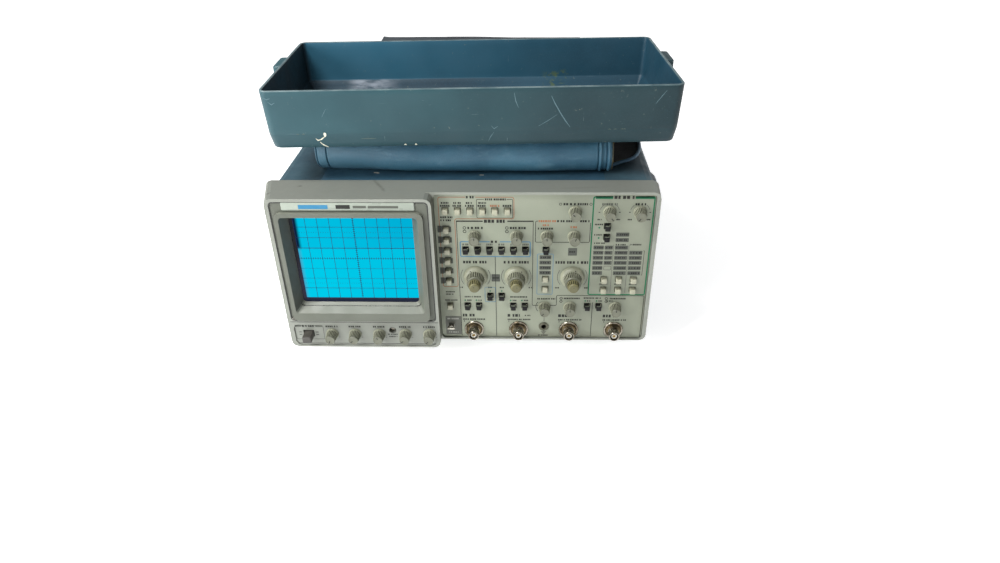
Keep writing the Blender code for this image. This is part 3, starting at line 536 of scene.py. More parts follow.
# On the panel: darker along its bottom and along its right edge, and painted shadow of the display module
# beside it.
grime_and_shade_patch(PANEL_PAINT, (66.0, 15.0, 4.0), (105.0, 9.0, 6.5), 0.0, rgb(86, 84, 66), 0.35)
grime_and_shade_patch(PANEL_PAINT, (158.0, 15.0, 60.0), (5.0, 9.0, 90.0), 0.0, rgb(86, 84, 66), 0.3)
grime_and_shade_patch(PANEL_PAINT, (-12.0, 15.0, 30.0), (16.0, 9.0, 34.0), 0.0, rgb(84, 84, 70), 0.35)
dress("crt_bezel", BEZEL_PAINT, 0.8, 3)
dress("cabinet", CABINET_PAINT, 0.5, 2)
dress("rear_panel", CABINET_PAINT, 0.5, 2)
for inner_metal in ("crt_shield", "chassis", "power_supply"):
    dress(inner_metal, STEEL)
dress("power_inlet", BLACK_PLASTIC, 0.5, 2)
dress("fan_rotor", BLACK_PLASTIC, 0.3, 2)
dress("ground_jack", DULL_TIN, 0.15, 2)
dress("probe_adjust_terminal", PALE_TIN, 0.15, 2)
dress("trace_rotation_trimmer", NICKEL, 0.15, 2)


def glass():
    finish = Finish("tube_glass", 0.12, 0.0, IOR=1.5)
    finish.colour(finish.mix(finish.noise(40), rgb(70, 90, 88), rgb(90, 110, 106)))
    return finish.material


def board_finish():
    """Green solder mask over branching tracks."""
    finish = Finish("board", 0.35)
    tracks = finish.fade(finish.cells(260, (1, 4, 1)), 0.02, 0.05)
    finish.colour(finish.mix(tracks, rgb(96, 140, 70), rgb(24, 84, 44)))
    return finish.material


dress("crt_tube", glass())
dress("main_board", board_finish(), 0.3, 2)


# ------------------------------------------------------------------------- display

GRATICULE_CENTRE = (-90.5, 89.0)
DIVISION = 10.0
COLUMNS = 10
ROWS = 8


def screen_finish():
    """Dark filter: nearly black round its edge, a little violet towards the bottom left; the darkening
    towards the top is painted shade.
    """
    finish = Finish("screen_filter", 0.16, 0.0, Specular_IOR_Level=0.08)
    # Painted shade: darker towards the top.
    low = finish.between(2, 60, 100)
    colour = finish.mix(low, rgb(34, 32, 48), rgb(14, 14, 22))
    below = finish.between(2, 47, 49)
    finish.colour(finish.mix(below, rgb(8, 16, 38), colour))
    return finish.material


def lit_finish():
    """Glowing phosphor behind the filter: brighter at the lower left, with a faint diagonal sheen; along
    its left edge a painted shadow of the bezel, dark above and a paler violet half shadow below.
    """
    finish = Finish("lit_screen", 0.3, 0.0)
    across = finish.between(0, -140, -40)
    up = finish.between(2, 49, 129)
    falloff = finish.calc("MULTIPLY_ADD", up, 0.35, finish.both(across, 0.65))
    cloud = finish.noise(38, 3.0)
    falloff = finish.calc("ADD", falloff, finish.fade(cloud, 0.3, 0.7, -0.10, 0.10))
    colour = finish.mix(falloff, rgb(0, 206, 240), rgb(0, 182, 222))
    upper = finish.between(2, 95, 101)
    # Painted shadow of the bezel along the left edge of the glow.
    shadow_side = finish.between(0, -135.7, -139.5)
    half_shadow_side = finish.between(0, -136.5, -141.5)
    colour = finish.mix(finish.both(upper, shadow_side), colour, rgb(10, 20, 52))
    lower = finish.calc("SUBTRACT", 1.0, upper)
    colour = finish.mix(finish.both(lower, half_shadow_side), colour, rgb(96, 104, 150))
    glow = finish.both(finish.between(2, 99.3, 98.7), 0.4)
    colour = finish.mix(glow, colour, rgb(0, 216, 244))
    finish.tree.links.new(colour, finish.shader.inputs["Emission Color"])
    finish.shader.inputs["Emission Strength"].default_value = 0.92
    finish.colour(finish.mix(falloff, rgb(0, 14, 22), rgb(0, 10, 18)))
    finish.shader.inputs["Specular IOR Level"].default_value = 0.0
    return finish.material


def display():
    dress("screen_filter", screen_finish(), 0.2, 2)
    cx, ch = GRATICULE_CENTRE
    half_w, half_h = COLUMNS * DIVISION / 2, ROWS * DIVISION / 2
    lit = bmesh.new()
    outline = rounded_outline((cx - half_w, cx + half_w), (ch - half_h, ch + half_h), 1.2)
    add_plate(lit, outline, SCREEN_DEPTH - 0.10, SCREEN_DEPTH - 0.02)
    piece("lit_screen", lit, MAIN, [lit_finish()])
    lines = bmesh.new()
    depth = SCREEN_DEPTH - 0.10
    for i in range(COLUMNS + 1):
        x = cx - half_w + i * DIVISION
        add_ribbon(lines, [(x, ch - half_h), (x, ch + half_h)], 0.40, depth)
    for i in range(ROWS + 1):
        height = ch - half_h + i * DIVISION
        width = (0.3, 0.42, 0.25, 0.22, 0.2, 0.6, 0.38, 0.34, 0.3)[i]
        add_ribbon(lines, [(cx - half_w, height), (cx + half_w, height)], width, depth)
    minor = DIVISION / 5
    for i in range(1, COLUMNS * 5):
        x = cx - half_w + i * minor
        add_bar(lines, (x - 0.25, x + 0.25), (ch - 0.8, ch + 0.8), depth)
        for row in (ch - 2.5 * DIVISION, ch + 2.5 * DIVISION):
            add_bar(lines, (x - 0.22, x + 0.22), (row - 0.22, row + 0.22), depth)
    for i in range(1, ROWS * 5):
        height = ch - half_h + i * minor
        add_bar(lines, (cx - 0.8, cx + 0.8), (height - 0.25, height + 0.25), depth)
    graticule_ink = ink("graticule_ink", rgb(0, 34, 76), 0.8)
    piece("graticule", lines, MAIN, [graticule_ink])


display()


# ------------------------------------------------------------------ knobs and keys

FLUTE_POINTS = 8


def flute_ring(place, radius, cut, depth, flutes):
    """Ring whose radius dips into a narrow groove between its ribs."""
    ring = []
    for angle in circle(flutes * FLUTE_POINTS):
        dip = 0.5 - 0.5 * math.cos(angle * flutes)
        x, height = polar(place, radius - cut * dip ** 3, angle)
        ring.append(spot(x, depth, height))
    return ring


def add_fluted(shape, place, profile, flutes, groove):
    """Turned body with ribs; profile is (radius, rib cut, depth, finish) from back to front.
    The floors of the grooves take the groove finish, painted shade between the ribs."""
    rings = []
    for radius, cut, depth, _ in profile:
        rings.append([spot(place[0], depth, place[1])] if radius == 0
                     else flute_ring(place, radius, cut, depth, flutes))
    made = [[shape.verts.new(p) for p in ring] for ring in rings]
    for first, second, low, high in zip(made, made[1:], profile, profile[1:]):
        floor = groove if min(low[1], high[1]) > 0.25 else high[3]
        bridge(shape, first, second, lambda i: floor if i % FLUTE_POINTS in (2, 3, 4, 5) else high[3])
    if len(made[0]) > 1:
        shape.faces.new(made[0])


def add_pointer(shape, place, angle_deg, start, end, width, depth, finish, thickness=PRINT_THICKNESS):
    """Line mark on a knob, between two distances from its middle."""
    angle = math.radians(angle_deg)
    path = [polar(place, start, angle), polar(place, end, angle)]
    add_ribbon(shape, path, width, depth, finish, thickness=thickness)


# node: direction of the pointer in degrees, counter-clockwise from the right
SMALL_KNOBS = {
    "a_intensity_knob": 250, "b_intensity_knob": 225, "focus_knob": 100, "readout_knob": 215,
    "scale_illumination_knob": 235, "ch1_position_knob": 90, "ch2_position_knob": 80,
    "cursor_reference_knob": 95, "cursor_delta_knob": 70, "horizontal_position_knob": 130,
    "holdoff_knob": 310, "trigger_level_knob": 238, "trace_separation_knob": 225,
    "ch3_position_knob": 95, "ch4_position_knob": 90,
}


def small_knob(node, pointer_deg):
    place = place_of(node)
    (x0, x1), (face, _), _ = extent(node)
    radius = (x1 - x0) / 2
    base = face + 10.7
    shape = bmesh.new()
    profile = [(radius, 0.0, base, 0), (radius, 0.0, base - 0.9, 0), (radius - 0.25, 0.0, base - 1.3, 0),
               (radius - 0.35, 0.8, base - 1.7, 0), (radius - 0.75, 0.9, base - 4.5, 0),
               (radius - 1.15, 0.9, face + 1.3, 0), (radius - 1.25, 0.7, face + 0.7, 0),
               (radius - 1.40, 0.0, face + 0.3, 1), (radius - 1.65, 0.0, face + 0.05, 1),
               (radius - 2.1, 0.0, face + 0.1, 1), (radius - 2.2, 0.0, face + 0.3, 1),
               (0, 0, face + 0.4, 1)]
    add_fluted(shape, place, profile, 22, 3)
    reach = radius - 1.4
    add_pointer(shape, place, pointer_deg, 0.25 * reach, reach, 0.7, face + 0.22, 2)
    piece(node + "_cap", shape, node + "_body", [KNOB_PLASTIC, KNOB_FACE_SHADED, INK_DARK, KNOB_GROOVE_SHADE],
          (node,), 40)


DUAL_POINTERS = {"ch1_volts": 118, "ch2_volts": 60, "time_base": 75}


def dual_knob(prefix, pointer_deg):
    """Skirted outer knob with a ribbed barrel, and the khaki knob inside it."""
    outer, inner = prefix + "_knob", prefix + "_variable_knob"
    place = place_of(outer)
    (x0, x1), (lip, _), _ = extent(outer)
    skirt = (x1 - x0) / 2
    base = lip + 12.6
    shape = bmesh.new()
    bore = 4.6
    profile = [(skirt, 0, base, 0), (skirt, 0, base - 1.0, 0), (skirt - 0.35, 0, base - 2.4, 0),
               (skirt - 1.1, 0, base - 3.6, 0), (skirt - 2.1, 0, base - 4.3, 0),
               (skirt - 2.5, 0.5, base - 4.6, 0), (skirt - 2.6, 1.0, base - 5.2, 0),
               (skirt - 3.1, 1.1, base - 8.0, 0), (skirt - 3.55, 1.0, base - 10.4, 0),
               (skirt - 3.65, 0.5, base - 10.9, 0), (skirt - 3.6, 0, base - 11.2, 0),
               (skirt - 3.75, 0, base - 12.2, 1), (skirt - 4.2, 0, base - 12.6, 1),
               (bore, 0, base - 12.5, 1), (bore, 0, base - 11.0, 1), (0, 0, base - 11.0, 1)]
    add_fluted(shape, place, profile, 28, 3)
    add_pointer(shape, place, pointer_deg, skirt - 3.0, skirt - 1.4, 0.8, base - 4.1, 2, 0.3)
    piece(outer + "_cap", shape, outer + "_body", [KNOB_PLASTIC, KNOB_FACE_SHADED, INK_DARK, KNOB_GROOVE_SHADE],
          (outer,), 40)
    (x0, x1), (face, _), _ = extent(inner)
    radius = 5.4
    start = base - 13.0
    shape = bmesh.new()
    profile = [(0, 0, start + 0.1, 0), (radius, 0, start, 0), (radius, 1.0, start - 0.4, 0),
               (radius - 0.3, 1.1, start - 3.0, 0), (radius - 0.55, 1.1, face + 2.6, 0),
               (radius - 0.7, 0.8, face + 1.9, 0), (radius - 0.9, 0.0, face + 1.2, 0),
               (radius - 1.2, 0.0, face + 0.6, 0), (radius - 1.7, 0.0, face + 0.1, 0),
               (radius - 2.4, 0, face + 0.02, 0), (0, 0, face + 0.25, 0)]
    add_fluted(shape, place, profile, 18, 2)
    reach = radius - 1.9
    add_pointer(shape, place, pointer_deg, 0.25 * reach, reach, 0.7, face + 0.2, 1)
    piece(inner + "_cap", shape, inner + "_body", [KHAKI_PLASTIC, INK_DARK, KHAKI_GROOVE_SHADE],
          (inner,), 40)


# Painted shade on the floors of the grooves between the ribs.
KNOB_GROOVE_SHADE = moulded("knob_groove_painted_shade", rgb(46, 46, 38), roughness=0.7, patch=160, grain=0.02)
KHAKI_GROOVE_SHADE = moulded("khaki_groove_painted_shade", rgb(38, 36, 24), roughness=0.7, patch=160, grain=0.02)
for knob, direction in SMALL_KNOBS.items():
    small_knob(knob, direction)
for knob_prefix, direction in DUAL_POINTERS.items():
    dual_knob(knob_prefix, direction)

# node: (x, height) of each key; the keys of a group share one moulding
LIGHT_KEYS = {
    "menu_row_keys": [(-14.4 + 10.3 * i, 130.6) for i in range(6)],
    "menu_column_keys": [(-14.4, 113.3 - 10.2 * i) for i in range(6)],
    "recall_key": [(-14.6, 36.2)],
    "trigger_setting_keys": [(120.4 + 12.7 * i, h) for i in range(3) for h in (64.4, 53.8)],
}
DARK_KEYS = {
    "vertical_mode_keys": [(1.2 + 10.2 * i, 93.8) for i in range(6)],
    "channel_keys": [(0.9, 36.4), (11.1, 36.4), (21.3, 46.8), (31.5, 46.8), (41.7, 36.4), (51.9, 36.4)],
    "trigger_select_keys": [(120.2, 116.4), (120.2, 106.2)],
    "ch3_ch4_range_keys": [(107.4, 36.4), (117.6, 36.4)],
}
MIXED_KEYS = {"horizontal_keys": [(69.6, 93.8), (69.6, 64.6), (69.6, 54.2)]}


def keys(node, places, dark):
    """Square keys with softly dished tops; dark holds one truth value for each key."""
    front = extent(node)[1][0]
    shape = bmesh.new()
    for (x, height), is_dark in zip(places, dark):
        if is_dark:
            half, low, high, face = 2.2, height - 2.9, height + 1.5, front - 1.5
            add_block(shape, (x - half, x + half), (low, high), face, PANEL_DEPTH + 6, 0.5, 0.4, 1)
            # Painted highlight: a pale band along the top front edge of the dark key.
            add_block(shape, (x - half + 0.2, x + half - 0.2), (high - 0.5, high + 0.04), face + 0.4,
                      face + 2.0, 0.1, 0.02, 2)
            # Painted glint at the back right of the top, in the light key plastic.
            add_block(shape, (x + half - 1.0, x + half + 0.03), (high - 0.5, high + 0.05), face + 2.9,
                      face + 3.7, 0.1, 0.02, 0)
        else:
            half = 2.3
            add_block(shape, (x - half, x + half), (height - half - 0.1, height + half - 0.1), front,
                      PANEL_DEPTH + 6, 0.6, 0.5, 0)
            if node != "menu_column_keys":
                # Painted shade on the top face of the light key.
                top = height + half
                add_block(shape, (x - half + 0.2, x + half - 0.2), (top - 0.6, top - 0.07), front + 1.5,
                          PANEL_DEPTH + 5, 0.1, 0.02, 3)
    piece(node + "_caps", shape, node + "_body", [KEY_LIGHT, KEY_DARK, KEY_EDGE_HIGHLIGHT, KEY_SHADE],
          (node,))


# Pale band on the dark keys: painted highlight. KEY_SHADE: painted shade on the tops of the light keys.
KEY_EDGE_HIGHLIGHT = moulded("key_edge_painted_highlight", rgb(92, 97, 86), roughness=0.3, patch=300, grain=0.01)
KEY_SHADE = moulded("key_shade", rgb(104, 104, 88), roughness=0.45, patch=300, specks=0.2, grain=0.01)
for group, group_places in LIGHT_KEYS.items():
    keys(group, group_places, [False] * len(group_places))
for group, group_places in DARK_KEYS.items():
    keys(group, group_places, [True] * len(group_places))
for group, group_places in MIXED_KEYS.items():
    keys(group, group_places, [True, False, False])


def power_button():
    front = extent("power_key")[1][0]
    x, height = place_of("power_key")
    shape = bmesh.new()
    add_block(shape, (x - 3.3, x + 4.4), (height - 3.25, height + 3.0), front, STRIP_DEPTH + 6, 0.6, 0.5)
    piece("power_button", shape, "power_key_body", [POWER_PLASTIC], ("power_key",))


power_button()


# ------------------------------------------------------------------------- sockets

def bayonet_socket(node):
    """Barrel with its two lugs, washer and nut, white insulator and hollow centre contact; painted shadow
    darkens the cone between washer and barrel, and the bottom of the bore.
    """
    place = place_of(node)
    front = extent(node)[1][0]
    p = PANEL_DEPTH
    x, height = place
    shape = bmesh.new()
    flats = [math.radians(60 * i + 12) for i in range(6)]
    nut = []
    for radius, depth in ((6.1, p - 1.9), (6.6, p - 1.55), (6.6, p - 0.6)):
        corners = [polar(place, radius, angle) for angle in flats]
        nut.append([spot(px, depth, ph) for px, ph in corners])
    add_rings(shape, nut)
    add_turned(shape, place, [(8.7, p - 0.05), (8.75, p - 0.9), (8.4, p - 1.35), (7.7, p - 1.5),
                              (7.1, p - 1.2), (6.9, p - 0.7)], 48)
    # Painted shadow: the cone between the washer and the barrel in the darker copy of the nickel.
    add_turned(shape, place, [(7.0, p - 0.7), (6.4, p - 1.0), (6.2, p - 2.2), (5.6, p - 2.6),
                              (4.8, p - 2.7)], 40, 4)
    barrel = [(4.85, p - 2.0), (4.85, p - 3.2), (4.5, p - 3.4), (4.5, p - 4.2), (4.85, p - 4.5),
              (4.85, front + 1.0), (4.7, front + 0.4), (4.4, front + 0.05), (4.05, front),
              (3.75, front + 0.2), (3.65, front + 0.8), (3.6, p - 2.6)]
    add_turned(shape, place, barrel)
    # Painted shade: a black disc closes the bore behind the insulator.
    add_turned(shape, place, [(3.7, p - 2.7), (0, p - 2.7)], finish=1)
    add_turned(shape, place, [(2.7, p - 2.7), (2.7, front + 1.5), (2.4, front + 1.1), (1.5, front + 1.1),
                              (1.4, front + 2.6)], finish=2)
    add_turned(shape, place, [(1.35, front + 3.0), (1.35, front + 1.7), (1.1, front + 1.5),
                              (0.6, front + 1.5), (0.55, front + 4.0), (0, front + 4.0)], 20, 3)
    for side in (-1, 1):
        lug = [spot(x, front + 3.6, height + side * reach) for reach in (4.6, 5.6, 5.75)]
        add_tube(shape, lug, 0.95, 12)
    piece(node + "_socket", shape, MAIN, [NICKEL, BLACK_PLASTIC, INSULATOR, BRASS, NICKEL_SHADOW],
          (node,), 30)


for socket_node in ("ch1_input", "ch2_input", "ch3_input", "ch4_input"):
    bayonet_socket(socket_node)


# ------------------------------------------------------------------- panel prints

DARK, GREY, PLAQUE, ORANGE, BLUE, GREEN = range(6)
PRINT_INKS = [INK_DARK, INK_GREY, INK_PLAQUE, INK_ORANGE, INK_BLUE, INK_GREEN]
dash_lengths = random.Random(11)


def add_label(shape, x_range, height, size, depth, finish=DARK):
    """A plain row of small blocks where the instrument has a line of lettering."""
    x, end = x_range
    half = size * 0.40
    while x < end - 0.25 * size:
        length = min(dash_lengths.uniform(0.40, 0.72) * size, end - x)
        add_bar(shape, (x, x + length), (height - half, height + half), depth, finish)
        x += length + 0.22 * size * dash_lengths.choice((0.8, 1.0, 1.0, 2.6))


def add_arc(shape, place, radius, start_deg, end_deg, width, depth, finish=DARK, steps=24):
    turn = [math.radians(start_deg + (end_deg - start_deg) * i / steps) for i in range(steps + 1)]
    add_ribbon(shape, [polar(place, radius, angle) for angle in turn], width, depth, finish)


def add_plaque(shape, x_range, height_range, depth, dot=True):
    """Small grey legend field with a dark dot and a short dark mark."""
    (x0, x1), (h0, h1) = x_range, height_range
    middle = (h0 + h1) / 2
    outline = rounded_outline(x_range, height_range, 0.5)
    add_plate(shape, outline, depth - PRINT_THICKNESS, depth, PLAQUE)
    top = depth - PRINT_THICKNESS
    if dot:
        add_dot(shape, (x0 + 1.5, middle), 0.65, top, DARK)
        add_label(shape, (x0 + 3.0, x1 - 0.8), middle, 2.0, top)
    else:
        add_label(shape, (x0 + 1.0, x1 - 0.8), middle, 2.0, top)


def menu_prints(shape, p):
    outline = [(2.5, 142.8), (-19.8, 142.8), (-19.8, 56.0), (-6.8, 56.0), (-6.8, 123.0), (42.5, 123.0),
               (42.5, 142.8), (11.0, 142.8)]
    add_ribbon(shape, outline, 0.5, p, ORANGE, 2.0)
    add_label(shape, (3.3, 10.3), 142.8, 2.7, p)
    inner = [(18.0, 140.8), (11.8, 140.8), (11.8, 123.8), (41.5, 123.8), (41.5, 140.8), (36.5, 140.8)]
    add_ribbon(shape, inner, 0.4, p, DARK, 1.0)
    add_label(shape, (18.8, 35.8), 140.8, 2.2, p)
    for i, (x, _) in enumerate(LIGHT_KEYS["menu_row_keys"]):
        add_label(shape, (x - 3.9, x + 3.9), 135.0, 2.2, p, ORANGE if i == 4 else DARK)
        if i < 4:
            add_label(shape, (x - 3.2, x + 3.2), 137.6, 2.0, p)
    for height in (124.4, 121.6):
        add_label(shape, (-18.8, -8.6), height, 2.1, p)
    # Painted shadows round each menu-column key, drawn in the plaque and grey inks: the display module's
    # shadow to its left, a shade above it and the key's own shadow to its right.
    for _, height in LIGHT_KEYS["menu_column_keys"]:
        add_bar(shape, (-21.8, -18.6), (height - 3.2, height + 3.2), p, PLAQUE)
        add_bar(shape, (-18.6, -17.2), (height - 2.6, height + 2.8), p, GREY)
        add_bar(shape, (-16.8, -11.4), (height + 2.4, height + 3.4), p, GREY)
        add_bar(shape, (-11.6, -10.2), (height - 2.8, height + 2.4), p, PLAQUE)
    for x0, x1, height in ((-19.0, -8.0, 41.7), (-18.0, -10.0, 50.5), (-18.0, -11.5, 48.0)):
        add_label(shape, (x0, x1), height, 1.6, p)


def vertical_prints(shape, p):
    add_ribbon(shape, [(16.5, 120.8), (-5.5, 120.8)], 1.2, p)
    add_ribbon(shape, [(37.0, 120.8), (58.5, 120.8)], 1.2, p)
    add_label(shape, (17.5, 36.2), 120.8, 3.6, p)
    add_ribbon(shape, [(-5.5, 121.4), (-5.5, 2.5)], 0.5, p)
    add_ribbon(shape, [(26.3, 86.5), (26.3, 2.5)], 0.5, p)
    outer = [(58.5, 121.4), (58.5, 36.5), (80.0, 36.5), (80.0, 47.3), (156.9, 47.3), (156.9, 2.5)]
    add_ribbon(shape, outer, 0.5, p, DARK, 1.2)
    add_ribbon(shape, [(112.0, 40.0), (112.0, 2.5)], 0.5, p)
    mode = [(30.5, 101.3), (56.2, 101.3), (56.2, 86.8), (-3.2, 86.8), (-3.2, 101.3), (22.0, 101.3)]
    add_ribbon(shape, mode, 0.95, p, BLUE, 1.2)
    add_label(shape, (22.8, 29.8), 101.3, 2.7, p)
    small_box = rounded_outline((16.7, 26.0), (40.2, 55.5), 1.0)
    add_ribbon(shape, small_box, 0.45, p, BLUE, closed=True)
    for x, _ in DARK_KEYS["vertical_mode_keys"]:
        add_label(shape, (x - 2.6, x + 2.6), 98.6, 2.0, p, GREY)
    for x in (-1.2, 8.8, 39.3, 49.3):
        add_dot(shape, (x, 41.7), 0.75, p, GREEN)
        add_label(shape, (x + 1.8, x + 5.6), 41.7, 1.7, p)
    for x in (21.3, 31.5):
        add_dot(shape, (x, 51.6), 0.7, p, GREEN)
        add_label(shape, (x - 2.8, x + 2.8), 42.2, 1.6, p)
    for start in (-1.5, 39.0):
        add_label(shape, (start, start + 15.0), 45.4, 1.9, p)
    for x0, x1, mark in ((3.5, 17.5, 1.0), (39.0, 53.0, 36.5)):
        add_label(shape, (x0, x1), 114.5, 2.6, p)
        for drop in (0.0, 3.4):
            add_arc(shape, (mark, 114.5 - drop), 1.2, 0, 360, 0.5, p, DARK, 16)
    for x0, x1 in ((-1.5, 20.0), (33.5, 55.0), (78.0, 106.0)):
        add_label(shape, (x0, x1), 81.2, 3.2, p)
    add_plaque(shape, (22.8, 30.2), (61.5, 69.0), p, False)
    add_plaque(shape, (88.4, 96.0), (88.0, 95.5), p, False)
    for node in ("ch1_volts_knob", "ch2_volts_knob", "time_base_knob"):
        place = place_of(node)
        for start, end in ((148, 218), (-38, 32)):
            add_arc(shape, place, 12.9, start, end, 0.5, p, GREY)
        add_label(shape, (place[0] - 14.6, place[0] - 10.6), place[1] - 11.2, 1.7, p)
        add_label(shape, (place[0] + 10.8, place[0] + 14.4), place[1] - 11.2, 1.7, p)


def channel_prints(shape, p):
    for i, (x0, x1) in enumerate(((-4.0, 16.0), (36.5, 57.0), (82.0, 103.0), (122.0, 143.0))):
        add_label(shape, (x0, x0 + 11.0), 25.4, 3.6, p)
        add_label(shape, (x0, x1), 21.0, 1.9, p)
        if i == 1:
            add_label(shape, (x1 - 5.0, x1), 25.4, 1.7, p)
    for node in ("ch1_input", "ch2_input", "ch3_input", "ch4_input"):
        x, height = place_of(node)
        add_ribbon(shape, [(x - 8.8, height + 9.5), (x - 8.8, height + 7.5)], 0.5, p)
        add_arc(shape, (x, height), 9.6, 205, 335, 0.4, p, GREY)
    for x0, x1, mark in ((86.5, 100.5, 84.0), (127.0, 141.0, 124.0)):
        add_label(shape, (x0, x1), 44.2, 1.9, p)
        for drop in (0.0, 3.2):
            add_arc(shape, (mark, 44.2 - drop), 1.1, 0, 360, 0.5, p, DARK, 16)
    add_label(shape, (104.0, 119.5), 44.6, 1.8, p)
    for x, finish in ((105.5, GREEN), (115.5, GREEN), (124.8, DARK)):
        add_dot(shape, (x, 41.6), 0.75, p, finish)
        add_label(shape, (x + 1.6, x + 4.8), 41.6, 1.6, p)
    add_label(shape, (63.0, 79.0), 43.6, 1.9, p)
    x, height = place_of("trace_separation_knob")
    jack_x, jack_height = place_of("ground_jack")
    add_ribbon(shape, [(x, height - 7.5), (x, jack_height + 5.5)], 0.45, p)
    add_arc(shape, (x, height), 7.6, 140, 220, 0.45, p)
    for i, half in enumerate((2.4, 1.6, 0.8)):
        add_bar(shape, (jack_x - half, jack_x + half), (7.6 - 1.3 * i, 8.1 - 1.3 * i), p)
    add_ribbon(shape, [(jack_x, 8.0), (jack_x, 10.5)], 0.45, p)
    add_label(shape, (jack_x - 5.0, jack_x + 5.0), 3.6, 1.5, p)


def cursor_prints(shape, p):
    cursor = [(62.6, 121.0), (60.5, 121.0), (60.5, 101.0), (106.0, 101.0), (106.0, 119.4)]
    add_ribbon(shape, cursor, 0.5, p, DARK, 1.2)
    for x0, x1, height, size, finish in (
            (63.0, 77.2, 121.0, 2.4, ORANGE), (78.2, 105.0, 121.0, 2.4, DARK),
            (66.4, 71.4, 117.2, 2.0, ORANGE), (62.4, 75.6, 114.0, 2.2, DARK),
            (89.6, 95.4, 115.4, 2.2, ORANGE)):
        add_label(shape, (x0, x1), height, size, p, finish)
    horizontal = [(62.5, 89.5), (62.5, 48.5), (76.0, 48.5), (76.0, 89.5)]
    add_ribbon(shape, horizontal, 0.5, p, BLUE, 1.0, closed=True)
    for height in (86.2, 81.0, 75.8, 70.8):
        add_plaque(shape, (64.3, 74.3), (height - 1.9, height + 1.9), p)
    for x0, x1, finish in ((83.0, 103.0, DARK), (114.5, 127.0, GREY), (141.5, 150.0, DARK)):
        add_label(shape, (x0, x1), 136.6, 2.5, p, finish)
    for x in (80.6, 105.4):
        add_arc(shape, (x, 136.6), 1.1, 0, 360, 0.35, p, DARK, 6)
    for node in ("holdoff_knob", "trigger_level_knob"):
        place = place_of(node)
        for start, end in ((130, 165), (15, 50)):
            add_arc(shape, place, 8.0, start, end, 0.45, p, GREY)
        for direction in (182, -2):
            add_pointer(shape, place, direction, 7.6, 9.0, 0.7, p, DARK)
        add_label(shape, (place[0] - 9.5, place[0] - 6.0), place[1] - 7.0, 1.5, p)
        add_label(shape, (place[0] + 6.0, place[0] + 9.5), place[1] - 7.0, 1.5, p)


def trigger_prints(shape, p):
    body = [(123.0, 143.2), (107.5, 143.2), (107.5, 48.5), (156.8, 48.5), (156.8, 143.2), (141.0, 143.2)]
    add_ribbon(shape, body, 1.1, p, GREEN, 1.5)
    for x0, x1 in ((109.0, 123.0), (141.0, 156.2)):
        add_bar(shape, (x0, x1), (141.4, 143.9), p, GREEN)
    add_label(shape, (124.0, 140.2), 142.8, 3.5, p)
    for height in (96.0, 91.0, 86.0, 81.0, 75.8, 70.7):
        add_plaque(shape, (109.7, 118.4), (height - 1.9, height + 1.9), p)
    for height in (96.0, 91.0, 86.0, 81.0):
        add_plaque(shape, (119.2, 126.0), (height - 1.9, height + 1.9), p, False)
    add_ribbon(shape, rounded_outline((119.6, 125.6), (73.9, 77.7), 0.6), 0.4, p, GREY, closed=True)
    for height in (108.5, 103.3, 96.0, 91.0, 86.0, 81.0, 75.8, 70.7):
        add_plaque(shape, (127.8, 138.8), (height - 1.9, height + 1.9), p)
    for height in (91.0, 86.0, 81.0, 75.8, 70.7):
        add_plaque(shape, (140.2, 151.2), (height - 1.9, height + 1.9), p)
    add_ribbon(shape, [(151.9, 92.9), (152.8, 92.9), (152.8, 68.8), (151.9, 68.8)], 0.4, p)
    for x in (126.6, 139.5):
        add_ribbon(shape, [(x, 99.0), (x, 50.5)], 0.35, p, GREY)
    for x in (110.0, 128.2, 140.6):
        add_label(shape, (x, x + 9.0), 100.2 if x < 120 else 98.9, 1.7, p)
    for height in (115.0, 105.2):
        add_dot(shape, (113.5, height), 0.8, p, GREEN)
        add_label(shape, (109.6, 116.6), height + 3.0, 1.7, p)
    for x in (120.4, 133.1, 145.8):
        add_label(shape, (x - 3.4, x + 3.4), 59.4, 1.5, p)


def strip_prints(shape, p):
    power = rounded_outline((-154.5, -128.8), (7.9, 22.4), 0.8)
    add_ribbon(shape, power, 0.4, p, GREY, closed=True)
    for x0, x1 in ((-154.0, -148.6), (-135.6, -129.4)):
        add_bar(shape, (x0, x1), (21.4, 23.0), p, GREY)
    add_label(shape, (-147.6, -136.6), 22.2, 2.6, p)
    x, height = place_of("power_key")
    for side in (-1, 1):
        for row in (height + 1.4, height - 1.4):
            middle = x + side * 7.6
            add_bar(shape, (middle - 1.2, middle + 1.2), (row - 0.3, row + 0.3), p)
    for node in ("a_intensity_knob", "b_intensity_knob", "focus_knob", "readout_knob",
                 "scale_illumination_knob"):
        place = place_of(node)
        add_label(shape, (place[0] - 5.4, place[0] + 5.4), 21.9, 2.2, p)
        for direction in (215, 325):
            add_pointer(shape, place, direction, 6.4, 7.6, 0.4, p, DARK)
    x, height = place_of("trace_rotation_trimmer")
    add_label(shape, (x - 4.6, x + 4.6), height - 4.4, 1.6, p)
    add_label(shape, (x - 3.6, x + 3.6), height - 6.9, 1.6, p)
    add_arc(shape, (x, height), 3.1, 0, 360, 0.35, p, DARK)


